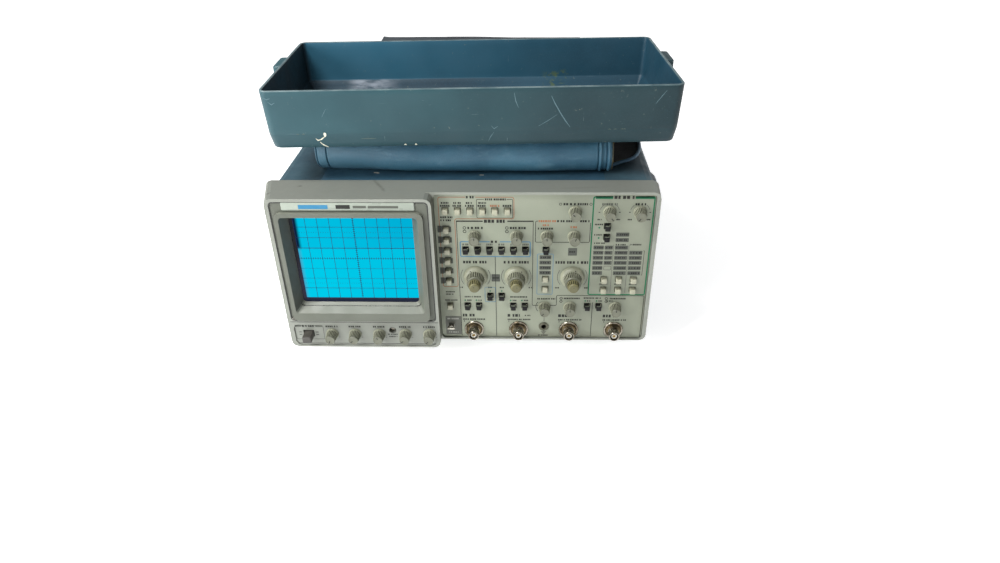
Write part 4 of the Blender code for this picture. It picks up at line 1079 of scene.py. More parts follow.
def printed_parts():
    shape = bmesh.new()
    for draw in (menu_prints, vertical_prints, channel_prints, cursor_prints, trigger_prints):
        draw(shape, PANEL_DEPTH)
    piece("panel_prints", shape, MAIN, PRINT_INKS)
    shape = bmesh.new()
    strip_prints(shape, STRIP_DEPTH)
    piece("strip_prints", shape, MAIN, PRINT_INKS)
    shape = bmesh.new()
    outline = rounded_outline((-19.8, -5.8), (4.2, 24.2), 0.8)
    add_plate(shape, outline, PANEL_DEPTH - 0.25, PANEL_DEPTH)
    add_label(shape, (-18.0, -8.0), 21.6, 1.8, PANEL_DEPTH - 0.25, 1)
    add_label(shape, (-17.5, -8.5), 6.6, 1.6, PANEL_DEPTH - 0.25, 1)
    piece("probe_adjust_field", shape, MAIN, [FIELD_DARK, INK_PALE])


FIELD_DARK = moulded("field_dark", rgb(72, 74, 65), roughness=0.45, patch=160, specks=0.1, grain=0.02)
INK_PALE = ink("ink_pale", rgb(149, 151, 143))
printed_parts()


# ----------------------------------------------------------------- name strip, frame

def name_strip():
    """Pale strip over the display with plain bars where a name would be."""
    shape = bmesh.new()
    x_range, heights = (-145.2, -37.2), (138.1, 145.0)
    front = -0.55
    levels = ((0.5, front), (0.15, front + 0.12), (0.0, front + 0.4), (0.0, 0.3))
    add_rings(shape, [[spot(x, depth, h) for x, h in
                       rounded_outline((x_range[0] + inset, x_range[1] - inset),
                                       (heights[0] + inset, heights[1] - inset), 1.0)]
                      for inset, depth in levels])
    for x0, x1, h0, h1, finish in ((-131.0, -107.0, 139.6, 143.2, 1), (-100.5, -89.0, 139.8, 143.2, 2),
                                   (-86.6, -76.0, 140.3, 142.5, 3), (-74.4, -50.0, 140.3, 142.4, 3)):
        add_bar(shape, (x0, x1), (h0, h1), front, finish)
    pale = moulded("name_strip", rgb(132, 140, 129), roughness=0.3, patch=30, grain=0.005)
    blue = ink("strip_blue", rgb(50, 112, 146))
    piece("name_strip", shape, MAIN, [pale, blue, INK_DARK, INK_GREY])


def screw_head(shape, centre, axis, radius):
    """Domed screw head with a cross slot in painted shade; axis points out of the surface."""
    side = axis.orthogonal().normalized()
    up = axis.cross(side)

    def ring(r, lift):
        return [centre + (side * math.cos(a) + up * math.sin(a)) * r * MM + axis * lift * MM
                for a in circle(20)]

    add_rings(shape, [ring(radius, 0), ring(radius * 0.95, radius * 0.28),
                      ring(radius * 0.7, radius * 0.42), [centre + axis * radius * 0.46 * MM]])
    for along, across in ((side, up), (up, side)):
        reach, half = radius * 0.6 * MM, radius * 0.1 * MM
        low, high = axis * radius * 0.30 * MM, axis * radius * 0.50 * MM
        corners = [along * s * reach + across * t * half for s, t in ((-1, -1), (1, -1), (1, 1), (-1, 1))]
        add_rings(shape, [[centre + c + low for c in corners], [centre + c + high for c in corners]], 1)


SCREW_STEEL = metal("screw_steel", rgb(120, 118, 110), 0.4, tarnish=rgb(70, 66, 58))


def frame_trim():
    """Groove round the bezel and gaps by the strip in painted shade, corner screw, and the rim beads of the
    strip.
    """
    shape = bmesh.new()
    groove = rounded_outline((-155.3, -26.7), (29.0, 144.9), 3.0)
    add_ribbon(shape, groove, 0.9, 0.03, 0, closed=True)
    add_ribbon(shape, [(MODULE_RIGHT - 1.0, 27.4), (-157.0, 27.4)], 0.5, 0.03, 0)
    add_ribbon(shape, [(-155.0, 26.4), (-25.4, 26.4)], 0.35, 0.0, 1)
    outline = rounded_outline((-155.6, -26.2), (3.2, 25.6), 1.5)
    add_ribbon(shape, outline, 0.4, STRIP_DEPTH + 0.02, 0, closed=True)
    piece("frame_grooves", shape, MAIN, [GROOVE_SHADE_AND_DARK_PART, FRAME_PAINT])
    shape = bmesh.new()
    outward = Vector((0, -1, 0))
    screw_head(shape, spot(-152.8, -0.1, 31.0), outward, 1.7)
    piece("bezel_screw", shape, MAIN, [SCREW_STEEL, GROOVE_SHADE_AND_DARK_PART])


# Painted shade in grooves, gaps, slots and vents, and the colour of the small dark selector on the back.
GROOVE_SHADE_AND_DARK_PART = moulded("groove_shade_and_dark_part", rgb(26, 28, 26), roughness=0.7, patch=80, grain=0.02)
name_strip()
frame_trim()


# --------------------------------------------------------------- cabinet, rear, feet

def slot_plate(shape, centre, normal, along, length, width):
    """Long round-ended slot: floor in painted shade and a raised rim, on a flat face."""
    across = normal.cross(along).normalized()
    ends = []
    for end, start_deg in ((1, -90), (-1, 90)):
        for step in range(7):
            angle = math.radians(start_deg + 30 * step)
            ends.append((end * (length - width) / 2 + math.cos(angle) * width / 2,
                         math.sin(angle) * width / 2))

    def ring(grow, lift):
        points = []
        for u, v in ends:
            scale = 1 + grow / max(0.1, width / 2)
            base = math.copysign((length - width) / 2, u)
            points.append(centre + along * (base + (u - base) * scale) * MM + across * v * scale * MM
                          + normal * lift * MM)
        return points

    add_rings(shape, [ring(0.0, 0.06), ring(0.0, 0.45), ring(0.35, 0.62), ring(0.8, 0.45), ring(1.0, 0.0)],
              1, caps=False)
    shape.faces.new([shape.verts.new(p) for p in ring(0.0, 0.06)])


def cabinet_details():
    boss_height = 6.2
    half = extent("cabinet")[0][1] - boss_height
    shape = bmesh.new()
    up, back = Vector((0, 0, 1)), Vector((0, 1, 0))
    for side in (-1, 1):
        outward = Vector((side, 0, 0))
        for row in range(2):
            for i in range(13):
                slot_plate(shape, spot(side * half, 268 + 9 * i, 45 + 48 * row), outward, up, 38, 3.2)
    for i in range(15):
        slot_plate(shape, spot(-98 + 14 * i, 318, 0.8), Vector((0, 0, -1)), back, 60, 4.0)
    piece("cabinet_vents", shape, MAIN, [GROOVE_SHADE_AND_DARK_PART, CABINET_PAINT])
    shape = bmesh.new()
    for side in (-1, 1):
        for depth in (52, 392):
            for height in (12, 136):
                screw_head(shape, spot(side * half, depth, height), Vector((side, 0, 0)), 2.6)
    for x in (-120, 120):
        for depth in (46, 388):
            screw_head(shape, spot(x, depth, 0.8), Vector((0, 0, -1)), 2.6)
    piece("cabinet_screws", shape, MAIN, [SCREW_STEEL, GROOVE_SHADE_AND_DARK_PART])


def base_plate():
    """Thin vinyl-covered plate that holds the pouch; its right edge shows as a seam."""
    shape = bmesh.new()
    x0, x1, d0, d1 = -121.4, 118.6, 37.6, 384.0
    outline = rounded_outline((x0, x1), (d0, d1), 3.0)
    rings = []
    for inset, height in ((0.0, 146.7), (0.0, 146.98), (0.35, 147.08)):
        rings.append([spot(x - math.copysign(inset, x), d, height) for x, d in outline])
    add_rings(shape, rings)
    for x, depth, long, wide in ((-76.8, 54.6, 2.2, 0.9), (-75.0, 53.6, 1.2, 0.7), (14.6, 49.5, 1.9, 0.6)):
        fleck = rounded_outline((x - long, x + long), (depth - wide, depth + wide), wide * 0.8)
        add_rings(shape, [[spot(px, pd, height) for px, pd in fleck] for height in (147.0, 147.14)], 1)
    piece("pouch_base_plate", shape, MAIN, [PLATE_VINYL, INSULATOR])


def feet():
    for node in ("foot_front_left", "foot_front_right", "foot_rear_left", "foot_rear_right"):
        dress(node, RUBBER, 0.6, 2)
        (x0, x1), (d0, d1), (h0, _) = extent(node)
        x, depth = (x0 + x1) / 2, (d0 + d1) / 2
        shape = bmesh.new()

        def ring(radius, height):
            outline = [polar((x, depth), radius, angle) for angle in circle(28)]
            return [spot(px, pd, height) for px, pd in outline]

        add_rings(shape, [ring(4.6, h0 + 0.15), ring(4.6, h0 + 0.02), ring(3.4, h0 + 0.02),
                          ring(3.2, h0 + 0.2)])
        for height in (h0 + 4.0, h0 + 7.5, h0 + 11.0):
            add_rings(shape, [ring(10.5, height - 0.5), ring(11.35, height), ring(10.5, height + 0.5)],
                      caps=False)
        piece(node + "_ribs", shape, MAIN, [RUBBER])


def rear_details():
    back = 402.85
    outward = Vector((0, 1, 0))
    shape = bmesh.new()
    fan = (88.0, 78.0)

    def fan_spot(radius, angle, depth):
        x, height = polar(fan, radius, angle)
        return spot(x, depth, height)

    for radius in (12, 19, 26, 33, 39.5):
        path = [fan_spot(radius, angle, back + 2.2) for angle in circle(48)]
        add_tube(shape, path, 0.9, 8, closed=True)
    for i in range(8):
        angle = math.radians(22.5 + 45 * i)
        spoke = ((11, 3.2), (39.5, 3.2), (43.0, 2.2), (43.4, 0.3))
        add_tube(shape, [fan_spot(radius, angle, back + lift) for radius, lift in spoke], 0.95, 8)
    piece("fan_grille", shape, MAIN, [GRILLE_WIRE])
    shape = bmesh.new()
    for x, height in ((-134, 74), (-134, 98), (134, 74), (134, 98), (-40, 136), (40, 136), (-40, 10),
                      (40, 10)):
        screw_head(shape, spot(x, back - 0.1, height), outward, 2.8)
    for i in range(4):
        angle = math.radians(45 + 90 * i)
        screw_head(shape, fan_spot(50, angle, back - 0.1), outward, 2.4)
    piece("rear_screws", shape, MAIN, [SCREW_STEEL, GROOVE_SHADE_AND_DARK_PART])
    shape = bmesh.new()
    for i in range(11):
        slot_plate(shape, spot(-6 - 6.4 * i, back - 0.1, 104), outward, Vector((0, 0, 1)), 44, 3.0)
    piece("rear_vents", shape, MAIN, [GROOVE_SHADE_AND_DARK_PART, CABINET_PAINT])
    shape = bmesh.new()
    add_turned(shape, (-62, 44), [(0, back + 12), (5.0, back + 12), (6.2, back + 11), (6.4, back + 3),
                                  (8.4, back + 2.6), (8.6, back - 0.2), (0, back - 0.2)], 32)
    # Slot across the fuse cap in painted shade.
    add_bar(shape, (-65.5, -58.5), (43.3, 44.7), back + 12.3, 1)
    add_plate(shape, rounded_outline((-50, -28), (36, 52), 1.5), back - 0.2, back + 0.8)
    add_plate(shape, rounded_outline((-44, -34), (41, 47), 0.8), back + 0.7, back + 2.4, 1)
    piece("fuse_cap_and_selector", shape, MAIN, [BLACK_PLASTIC, GROOVE_SHADE_AND_DARK_PART])
    shape = bmesh.new()
    add_plate(shape, rounded_outline((-136, -78), (66, 84), 1.5), back - 0.1, back + 0.35)
    for i in range(3):
        add_label(shape, (-132, -90 + 4 * i), 80 - 5 * i, 2.2, back + 0.43, 1)
    piece("rear_plate", shape, MAIN, [FIELD_PLATE, INK_DARK])
    for name, x in (("rear_socket_a", -8.0), ("rear_socket_b", 14.0)):
        shape = bmesh.new()
        place = (x, 62.0)
        add_turned(shape, place, [(4.0, back + 4), (4.1, back + 11), (4.5, back + 11.4), (4.85, back + 11),
                                  (4.85, back + 2.4), (7.4, back + 2.2), (7.6, back + 0.6),
                                  (8.6, back + 0.5),
                                  (8.6, back - 0.2), (4.0, back - 0.2)], 36)
        add_turned(shape, place, [(4.0, back + 2.2), (0, back + 2.2)], 24, 1)
        add_turned(shape, place, [(0, back + 8.0), (1.8, back + 8.0), (2.0, back + 7.6), (2.0, back + 2.0),
                                  (0, back + 2.0)], 20, 2)
        piece(name, shape, MAIN, [NICKEL, BLACK_PLASTIC, INSULATOR])


RUBBER = moulded("foot_rubber", rgb(34, 34, 35), light=rgb(48, 48, 48), dark=rgb(22, 22, 22), roughness=0.8,
                 patch=90, specks=0.15, grain=0.06)
GRILLE_WIRE = metal("grille_wire", rgb(150, 150, 148), 0.35)
FIELD_PLATE = metal("rear_plate", rgb(176, 178, 176), 0.42, brushed=(8, 1, 1))
PLATE_VINYL = moulded("plate_vinyl", rgb(38, 69, 86), light=rgb(45, 77, 94), dark=rgb(28, 54, 69),
                      roughness=0.5, patch=40, specks=0.12, grain=0.05, grain_scale=1500)
cabinet_details()
base_plate()
feet()
rear_details()


# -------------------------------------------------------------------------- handle

def carrying_handle():
    """Rounded hubs, tapering arms and a ribbed crossbar in one moulding."""
    hub_depth, hub_height = 118.0, 83.0
    grip_depth, grip_height = 259.0, -8.0
    shape = bmesh.new()
    for side in (-1, 1):
        profile = [(14.2, 171.2), (14.2, 176.8), (15.0, 177.3), (22.0, 177.5), (28.0, 177.0), (31.4, 175.6),
                   (33.6, 173.2), (34.5, 170.2), (34.5, 165.2), (33.9, 164.6), (19.0, 164.6), (18.8, 168.3),
                   (0, 168.3)]
        rings = [(0, 171.2)] + profile
        add_turned_sideways(shape, hub_depth, hub_height, [(r, side * x) for r, x in rings], 64)
    along = Vector((grip_depth - hub_depth, grip_height - hub_height))
    reach = along.length
    clear_of_button = 17.0 / reach
    direction = along.normalized()
    across = Vector((-direction.y, direction.x))
    for side in (-1, 1):
        rings = []
        for step in range(21):
            t = clear_of_button + (1 - clear_of_button) * step / 20
            half = 21.0 * (1 - t) ** 1.4 + 7.4 * (1 - (1 - t) ** 1.4)
            x_in, x_out = 168.8, 176.2
            if t > 0.9:
                x_out = 176.2 - 1.6 * ((t - 0.9) / 0.1) ** 2
            middle = Vector((hub_depth, hub_height)) + direction * reach * t
            section = []
            for x, v in rounded_outline((x_in, x_out), (-half, half), 3.4, 5):
                place = middle + across * v
                section.append(spot(side * x, place.x, place.y))
            rings.append(section)
        add_rings(shape, rings)
    rings = []
    stations = 150
    for step in range(stations + 1):
        x = -174.0 + 348.0 * step / stations
        middle_part = abs(x) < 70
        groove = 0.55 if middle_part and step % 3 == 0 else 0.0
        swell = 1.4 * max(0.0, 1 - (abs(x) / 84) ** 4)
        half_d, half_h = 9.6 + swell - groove, 5.1 + swell - groove
        section = []
        for angle in circle(24):
            c, s = math.cos(angle), math.sin(angle)
            section.append(spot(x, grip_depth + half_d * math.copysign(abs(c) ** 0.75, c),
                                grip_height + half_h * math.copysign(abs(s) ** 0.75, s)))
        rings.append(section)
    add_rings(shape, rings)
    piece("carrying_handle", shape, "handle_body", [HANDLE_PLASTIC], ("handle",), 30)
    for side, name in ((-1, "handle_button_left"), (1, "handle_button_right")):
        shape = bmesh.new()
        low = 174.0
        profile = [(0, low), (13.3, low), (13.4, 178.5), (12.9, 179.2), (12.0, 179.5), (10.6, 179.3),
                   (9.6, 178.7), (0, 178.5)]
        add_turned_sideways(shape, hub_depth, hub_height, [(r, side * x) for r, x in profile], 48)
        piece(name + "_cap", shape, name + "_body", [BUTTON_PLASTIC], (name,), 30)


HANDLE_PLASTIC = moulded("handle_plastic", rgb(48, 65, 76), light=rgb(57, 76, 86), dark=rgb(36, 52, 62),
                         roughness=0.48, patch=40, specks=0.12, grain=0.05, grain_scale=1200,
                         edge=rgb(81, 98, 107))
BUTTON_PLASTIC = moulded("button_plastic", rgb(40, 52, 60), roughness=0.42, patch=90, grain=0.03)
carrying_handle()


# --------------------------------------------------------------------- front cover

COVER_CENTRE = (6.9, 105.8)
COVER_TURN = math.radians(2.4)
COVER_LEVELS = ((180.1, 324.4, 144.8), (192.3, 328.4, 148.6), (228.2, 331.4, 151.4))
COVER_WALL = 2.3


def cover_size(height):
    """Outside length and depth of the tray at a height."""
    lower, crease, rim = COVER_LEVELS
    low, high = (lower, crease) if height < crease[0] else (crease, rim)
    t = (height - low[0]) / (high[0] - low[0])
    return low[1] + t * (high[1] - low[1]), low[2] + t * (high[2] - low[2])


def cover_spot(x, depth, height):
    """A point given from the tray's own middle, turned as the tray lies."""
    c, s = math.cos(COVER_TURN), math.sin(COVER_TURN)
    return spot(COVER_CENTRE[0] + x * c - depth * s, COVER_CENTRE[1] + x * s + depth * c, height)


def cover_ring(height, inset):
    length, width = cover_size(height)
    x, depth = length / 2 - inset, width / 2 - inset
    outline = rounded_outline((-x, x), (-depth, depth), max(0.8, 7.0 - inset), 7)
    return [cover_spot(px, pd, height) for px, pd in outline]


def cover_finish(name, base, light, dark, wear, inside=False):
    """Moulded plastic: mottled tone, faint scratches in many directions and dull spots, with painted light
    falling off from left to right and, on the outside, painted shade below the crease.
    """
    finish = Finish(name, 0.4, Specular_IOR_Level=0.28)
    tone = finish.mix(finish.fade(finish.noise(16, 4.0), 0.35, 0.65), dark, light)
    colour = finish.mix(0.45, base, tone)
    # Painted light: lighter at the left, darker at the right.
    across = finish.mix(finish.between(0, -150, 165), (1.36, 1.39, 1.33, 1.0), (0.70, 0.67, 0.65, 1.0))
    colour = finish.mix(1.0, colour, across, "MULTIPLY")
    below_crease = finish.between(2, 193.4, 191.6)
    if inside:
        colour = residues_and_painted_light(finish, colour, below_crease)
    else:
        # Painted shade on the outside below the crease.
        colour = finish.mix(finish.both(below_crease, 0.35), colour, dark)
    speckle = finish.fade(finish.noise(900, 2.0, 0.7), 0.46, 0.72)
    colour = finish.mix(finish.both(speckle, 0.22), colour, light)
    marks = None
    for stretch, turn in (((1, 9, 60), (0.5, 0.3, 0.2)), ((8, 1, 70), (-0.4, 0.6, 0.9)),
                          ((60, 4, 3), (0.2, -0.7, 0.1))):
        line = finish.fade(finish.noise(26, 2.0, 0.6, stretch, turn), 0.735, 0.775)
        marks = line if marks is None else finish.calc("MAXIMUM", marks, line)
    broken = finish.fade(finish.noise(45, 2.0), 0.50, 0.62)
    scratches = finish.both(marks, broken)
    colour = finish.mix(finish.both(scratches, wear), colour, rgb(150, 168, 172))
    dust = finish.fade(finish.noise(260, 3.0, 0.7), 0.66, 0.76, 0.0, 0.4)
    colour = finish.mix(dust, colour, rgb(112, 120, 108))
    rubbed = finish.both(finish.edges(1.1), 0.4)
    colour = finish.mix(rubbed, colour, rgb(120, 136, 138))
    finish.colour(colour)
    finish.roughness(finish.fade(finish.noise(30, 4.0), 0.3, 0.7, 0.38, 0.56))
    finish.bump(finish.noise(1300, 2.0), 0.03)
    return finish.bump(scratches, 0.03, 0.6).material


def residues_and_painted_light(finish, colour, below_crease):
    """Inside the tray: painted reflection in streaks along the low band at the left, painted shadow over
    the low band from the left towards the middle, old glue further right.
    """
    near_back = finish.between(1, 148, 166)
    left = finish.both(finish.between(0, -66, -98), finish.between(0, -124, -108))
    reflection_streaks = finish.fade(finish.noise(70, 4.0, 0.6, (0.5, 2.0, 2.0)), 0.34, 0.62)
    # Painted reflection in streaks at the left, and painted shadow on the low band, strongest at the left.
    painted_reflection = finish.both(finish.both(finish.both(left, reflection_streaks), below_crease), near_back)
    shade = finish.between(0, -30, 90, 0.75, 0.0)
    colour = finish.mix(finish.both(below_crease, shade), colour, rgb(14, 30, 42))
    colour = finish.mix(finish.both(painted_reflection, 0.7), colour, rgb(150, 158, 168))
    right = finish.both(finish.between(0, 66, 76), finish.between(0, 98, 88))
    patches = finish.fade(finish.noise(150, 4.0, 0.7), 0.48, 0.60)
    glue = finish.both(finish.both(right, finish.both(finish.between(2, 201, 195), patches)), near_back)
    return finish.mix(finish.both(glue, 0.7), colour, rgb(76, 90, 52))


def cover_mark(shape, path, width, finish):
    """Scratch or chip on the tray's front face: path holds (x from its middle, height)."""
    rings = []
    count = len(path)
    for i, (x, height) in enumerate(path):
        before, after = Vector(path[max(0, i - 1)]), Vector(path[min(count - 1, i + 1)])
        along = (after - before).normalized()
        side = Vector((-along.y, along.x)) * width / 2 * (0.35 if i in (0, count - 1) else 1.0)
        ring = []
        for sign, lift in ((1, -0.05), (1, 0.06), (-1, 0.06), (-1, -0.05)):
            px, ph = x + side.x * sign, height + side.y * sign
            ring.append(cover_spot(px, -cover_size(ph)[1] / 2 - lift, ph))
        rings.append(ring)
    add_rings(shape, rings, finish)


def cover_catches(shape):
    """Springy catch near the middle of each short side, with a rounded back and a lip."""
    half_depth, low, high = 14.5, 219.0, 228.1
    middle = 8.0
    for side in (-1, 1):
        wall = cover_size(high)[0] / 2
        rings = []
        for grow, height in ((0.8, low), (0.0, low + 0.8), (0.0, high - 0.9), (0.7, high)):
            reach = half_depth - grow
            outline = rounded_outline((wall - 1.6, wall + 5.6 - grow), (-reach, reach), 2.2)
            rings.append([cover_spot(side * x, middle + d, height) for x, d in outline])
        add_rings(shape, rings)
        rings = []
        for grow, height in ((0.0, high - 0.1), (0.4, high + 0.05)):
            reach = half_depth - 3 - grow
            outline = rounded_outline((wall + 0.6 + grow, wall + 4.2 - grow), (-reach, reach), 1.0, 3)
            rings.append([cover_spot(side * x, middle + d, height) for x, d in outline])
        add_rings(shape, rings)


def front_cover():
    floor = 182.5
    outer = [(180.1, 3.2), (180.2, 1.6), (180.7, 0.55), (181.6, 0.05), (185.0, 0.0), (188.5, 0.0),
             (191.6, 0.0), (192.1, 0.1), (192.5, 0.1), (193.0, 0.0)]
    outer += [(193.0 + 34.4 * i / 8, 0.0) for i in range(1, 9)]
    rim_levels = [(227.9, 0.18), (228.15, 0.6), (228.2, 1.1), (228.1, 1.7), (227.7, 2.15)]
    inner = [(227.0 - 33.6 * i / 8, COVER_WALL) for i in range(9)]
    inner += [(192.9, 2.35), (192.4, 2.6), (191.8, 3.0), (188.0, 4.2), (185.0, 5.2), (183.5, 6.0),
              (floor + 0.2, 7.2), (floor, 9.0)]
    rings = [cover_ring(height, inset) for height, inset in outer + rim_levels + inner]
    rim_bands = len(rim_levels)
    outer_bands = len(outer) + rim_bands - 1
    inner_bands = len(inner)
    finishes = [0] * (outer_bands - rim_bands) + [2] * rim_bands + [1] * inner_bands
    shape = bmesh.new()
    add_rings(shape, rings, finishes)
    cover_catches(shape)
    outside = cover_finish("cover_outside", COVER_OUT, COVER_OUT_LIGHT, COVER_OUT_DARK, 0.35)
    inside = cover_finish("cover_inside", COVER_IN, COVER_IN_LIGHT, COVER_IN_DARK, 0.25, True)
    # Painted shadow on the inner face of the left wall.
    shade_by_facing(inside, 0, 0.3, 0.9, rgb(18, 31, 38))
    rim = moulded("cover_rim", rgb(70, 90, 94), light=rgb(104, 120, 122), dark=rgb(44, 66, 72),
                  roughness=0.45, patch=60, specks=0.1, grain=0.02)
    piece("front_cover_shell", shape, "front_cover_body", [outside, inside, rim],
          ("front_cover",), 28)
    marks = bmesh.new()
    cream, grey, yellow = 0, 1, 2
    for width, finish, path in (
            (2.0, cream, ((-118.6, 189.9), (-118.3, 191.4), (-118.4, 192.9), (-118.9, 193.5))),
            (0.9, cream, ((-118.6, 190.4), (-121.3, 188.3), (-124.6, 186.6))),
            (0.9, cream, ((-126.2, 188.6), (-124.8, 187.0), (-123.0, 187.6))),
            (0.9, cream, ((-123.4, 185.4), (-121.0, 183.0), (-117.4, 180.9))),
            (0.8, grey, ((-158.6, 219.6), (-156.2, 217.2), (-153.4, 218.8))),
            (0.7, grey, ((-161.2, 222.6), (-159.0, 221.4), (-156.4, 222.2))),
            (0.45, grey, ((-118.5, 206.8), (-116.6, 210.0), (-114.5, 213.2))),
            (0.7, grey, ((61.6, 221.0), (64.4, 215.0), (68.2, 208.2), (73.0, 200.6), (77.2, 194.8))),
            (0.4, grey, ((52.0, 196.3), (59.0, 200.4), (66.6, 205.6))),
            (0.7, grey, ((32.8, 223.8), (33.8, 217.4), (36.0, 211.8))),
            (0.6, grey, ((14.6, 197.0), (16.6, 194.6), (19.6, 196.6))),
            (0.5, grey, ((16.4, 191.6), (14.0, 188.2), (11.8, 183.6))),
            (0.5, grey, ((143.4, 213.0), (147.4, 218.6), (151.2, 223.8)))):
        cover_mark(marks, path, width, finish)
    for x in (-141.0, -136.6, 107.5, 112.0, 117.6, 119.4):
        cover_mark(marks, [(x, 192.5), (x + 1.3, 192.7), (x + 2.4, 192.4)], 0.7, yellow)
    for x in (-56.0, -47.5):
        cover_mark(marks, [(x, 181.8), (x + 0.9, 182.2), (x + 1.8, 181.7)], 0.9, cream)
    cover_mark(marks, [(x, 187.9 + 0.1 * math.sin(x)) for x in range(-90, -76, 4)], 0.9, 3)
    finishes = [ink("chip_cream", rgb(206, 204, 184)), ink("scratch_grey", rgb(80, 104, 111)),
                ink("stain_yellow", rgb(66, 80, 76)), ink("stain_brown", rgb(66, 82, 80))]
    piece("cover_chips", marks, "front_cover_body", finishes)


# One plastic inside and out: the outside takes a darker copy than the inside, as painted shade on the
# outward faces.
COVER_OUT, COVER_OUT_LIGHT, COVER_OUT_DARK = rgb(29, 57, 65), rgb(34, 63, 70), rgb(24, 50, 57)
COVER_IN, COVER_IN_LIGHT, COVER_IN_DARK = rgb(35, 73, 92), rgb(41, 80, 100), rgb(28, 64, 82)
front_cover()


# --------------------------------------------------------------------------- pouch

POUCH_X = (-127.0, 124.0)
POUCH_BACK = 385.0
POUCH_LOW = 147.2
POUCH_TOP = 179.7
POUCH_MIDDLE = 214.0
CLOTH_FRAMES = 16
MOST_SHIFT = 5 * MM
STATIONS = 76
SECTION_POINTS = 128


def pouch_front(x):
    """Depth of the pouch's foremost edge, which bows forward in the middle."""
    if x < 35:
        return 43.6 + 7.4 * ((35 - x) / 161) ** 2
    return 43.6 + 3.4 * ((x - 35) / 89) ** 2


def pouch_section(x, slack=0.0):
    """Loop of (depth, height) points round the pouch, evenly spaced."""
    front, back = pouch_front(x) + slack, POUCH_BACK - slack
    low, high = POUCH_LOW, POUCH_TOP - slack
    radius = (high - low) / 2 - 0.3
    outline = rounded_outline((front, back), (low, high), radius, 12)
    lengths = [0.0]
    closed = outline + [outline[0]]
    for a, b in zip(closed, closed[1:]):
        lengths.append(lengths[-1] + math.hypot(b[0] - a[0], b[1] - a[1]))
    points = []
    cursor = 0
    for i in range(SECTION_POINTS):
        target = lengths[-1] * i / SECTION_POINTS
        while lengths[cursor + 1] < target:
            cursor += 1
        span = lengths[cursor + 1] - lengths[cursor]
        t = (target - lengths[cursor]) / span if span else 0.0
        a, b = closed[cursor], closed[cursor + 1]
        points.append((a[0] + t * (b[0] - a[0]), a[1] + t * (b[1] - a[1])))
    return points


def simulated_pouch():
    """Rings of points after the vinyl has been blown out a little against its sewn ends."""
    x0, x1 = POUCH_X
    shape = bmesh.new()
    rings = []
    for i in range(STATIONS):
        x = x0 + (x1 - x0) * i / (STATIONS - 1)
        ring = []
        for d, h in pouch_section(x, 1.2):
            wobble = noise.noise(Vector((x * 0.022, d * 0.016, h * 0.05 + 4.0)))
            fine = noise.noise(Vector((x * 0.06, d * 0.05, h * 0.11 + 9.0)))
            middle = (POUCH_LOW + POUCH_TOP) / 2
            push = (1.6 * wobble + 0.7 * fine) * (1 if h > POUCH_LOW + 1 else 0)
            outward = (d - POUCH_MIDDLE) * 0.09
            reach = math.hypot(outward, h - middle) or 1.0
            ring.append(shape.verts.new(spot(x, d + push * outward / reach,
                                             h + push * (h - middle) / reach)))
        rings.append(ring)
    for first, second in zip(rings, rings[1:]):
        bridge(shape, first, second, 0)
    bmesh.ops.recalc_face_normals(shape, faces=shape.faces)
    mesh = bpy.data.meshes.new("pouch_cloth")
    shape.to_mesh(mesh)
    shape.free()
    cloth_object = bpy.data.objects.new("pouch_cloth", mesh)
    bpy.context.scene.collection.objects.link(cloth_object)
    pinned = cloth_object.vertex_groups.new(name="sewn")
    for vertex in mesh.vertices:
        station = vertex.index // SECTION_POINTS
        low = vertex.co.z < spot(0, 0, POUCH_LOW + 0.6).z
        near_end = min(station, STATIONS - 1 - station)
        weight = 1.0 if near_end < 1 or low else (0.4 if near_end < 3 else 0.0)
        if weight:
            pinned.add([vertex.index], weight, "REPLACE")
    cloth = cloth_object.modifiers.new("cloth", "CLOTH")
    cloth.settings.quality = 6
    cloth.settings.mass = 0.4
    cloth.settings.tension_stiffness = 25
    cloth.settings.compression_stiffness = 18
    cloth.settings.bending_stiffness = 2.5
    cloth.settings.use_pressure = True
    cloth.settings.uniform_pressure_force = 2.2
    cloth.settings.vertex_group_mass = "sewn"
    cloth.settings.effector_weights.gravity = 0.0
    cloth.point_cache.frame_start = 1
    cloth.point_cache.frame_end = CLOTH_FRAMES
    for step in range(1, CLOTH_FRAMES + 1):
        bpy.context.scene.frame_set(step)
    evaluated = cloth_object.evaluated_get(bpy.context.evaluated_depsgraph_get()).to_mesh()
    moved = [cloth_object.matrix_world @ v.co for v in evaluated.vertices]
    settled = []
    for vertex, here in zip(mesh.vertices, moved):
        shift = here - vertex.co
        if shift.length > MOST_SHIFT:
            shift = shift.normalized() * MOST_SHIFT
        point = vertex.co + shift
        behind_cover = (point.y - spot(0, 176, 0).y) / MM
        before_lid = (spot(0, 330, 0).y - point.y) / MM
        swell = 2.2 * min(1.0, max(0.0, behind_cover / 4)) * min(1.0, max(0.0, before_lid / 25))
        top = spot(0, 0, POUCH_TOP + swell).z
        point.z = min(max(point.z, spot(0, 0, POUCH_LOW).z), top)
        settled.append(point)
    cloth_object.evaluated_get(bpy.context.evaluated_depsgraph_get()).to_mesh_clear()
    bpy.data.objects.remove(cloth_object)
    bpy.data.meshes.remove(mesh)
    bpy.context.scene.frame_set(1)
    return [settled[i * SECTION_POINTS:(i + 1) * SECTION_POINTS] for i in range(STATIONS)]


def ring_at(rings, x):
    """Section of the settled pouch at any x."""
    x0, x1 = POUCH_X
    place = (x - x0) / (x1 - x0) * (STATIONS - 1)
    i = max(0, min(STATIONS - 2, int(place)))
    t = place - i
    return [a.lerp(b, t) for a, b in zip(rings[i], rings[i + 1])]


def offset_ring(ring, outward_mm):
    """The section moved along its own normals, in its own plane."""
    count = len(ring)
    moved = []
    for i, here in enumerate(ring):
        along = ring[(i + 1) % count] - ring[i - 1]
        normal = Vector((0, along.z, -along.y)).normalized()
        moved.append(here + normal * outward_mm * MM)
    return moved


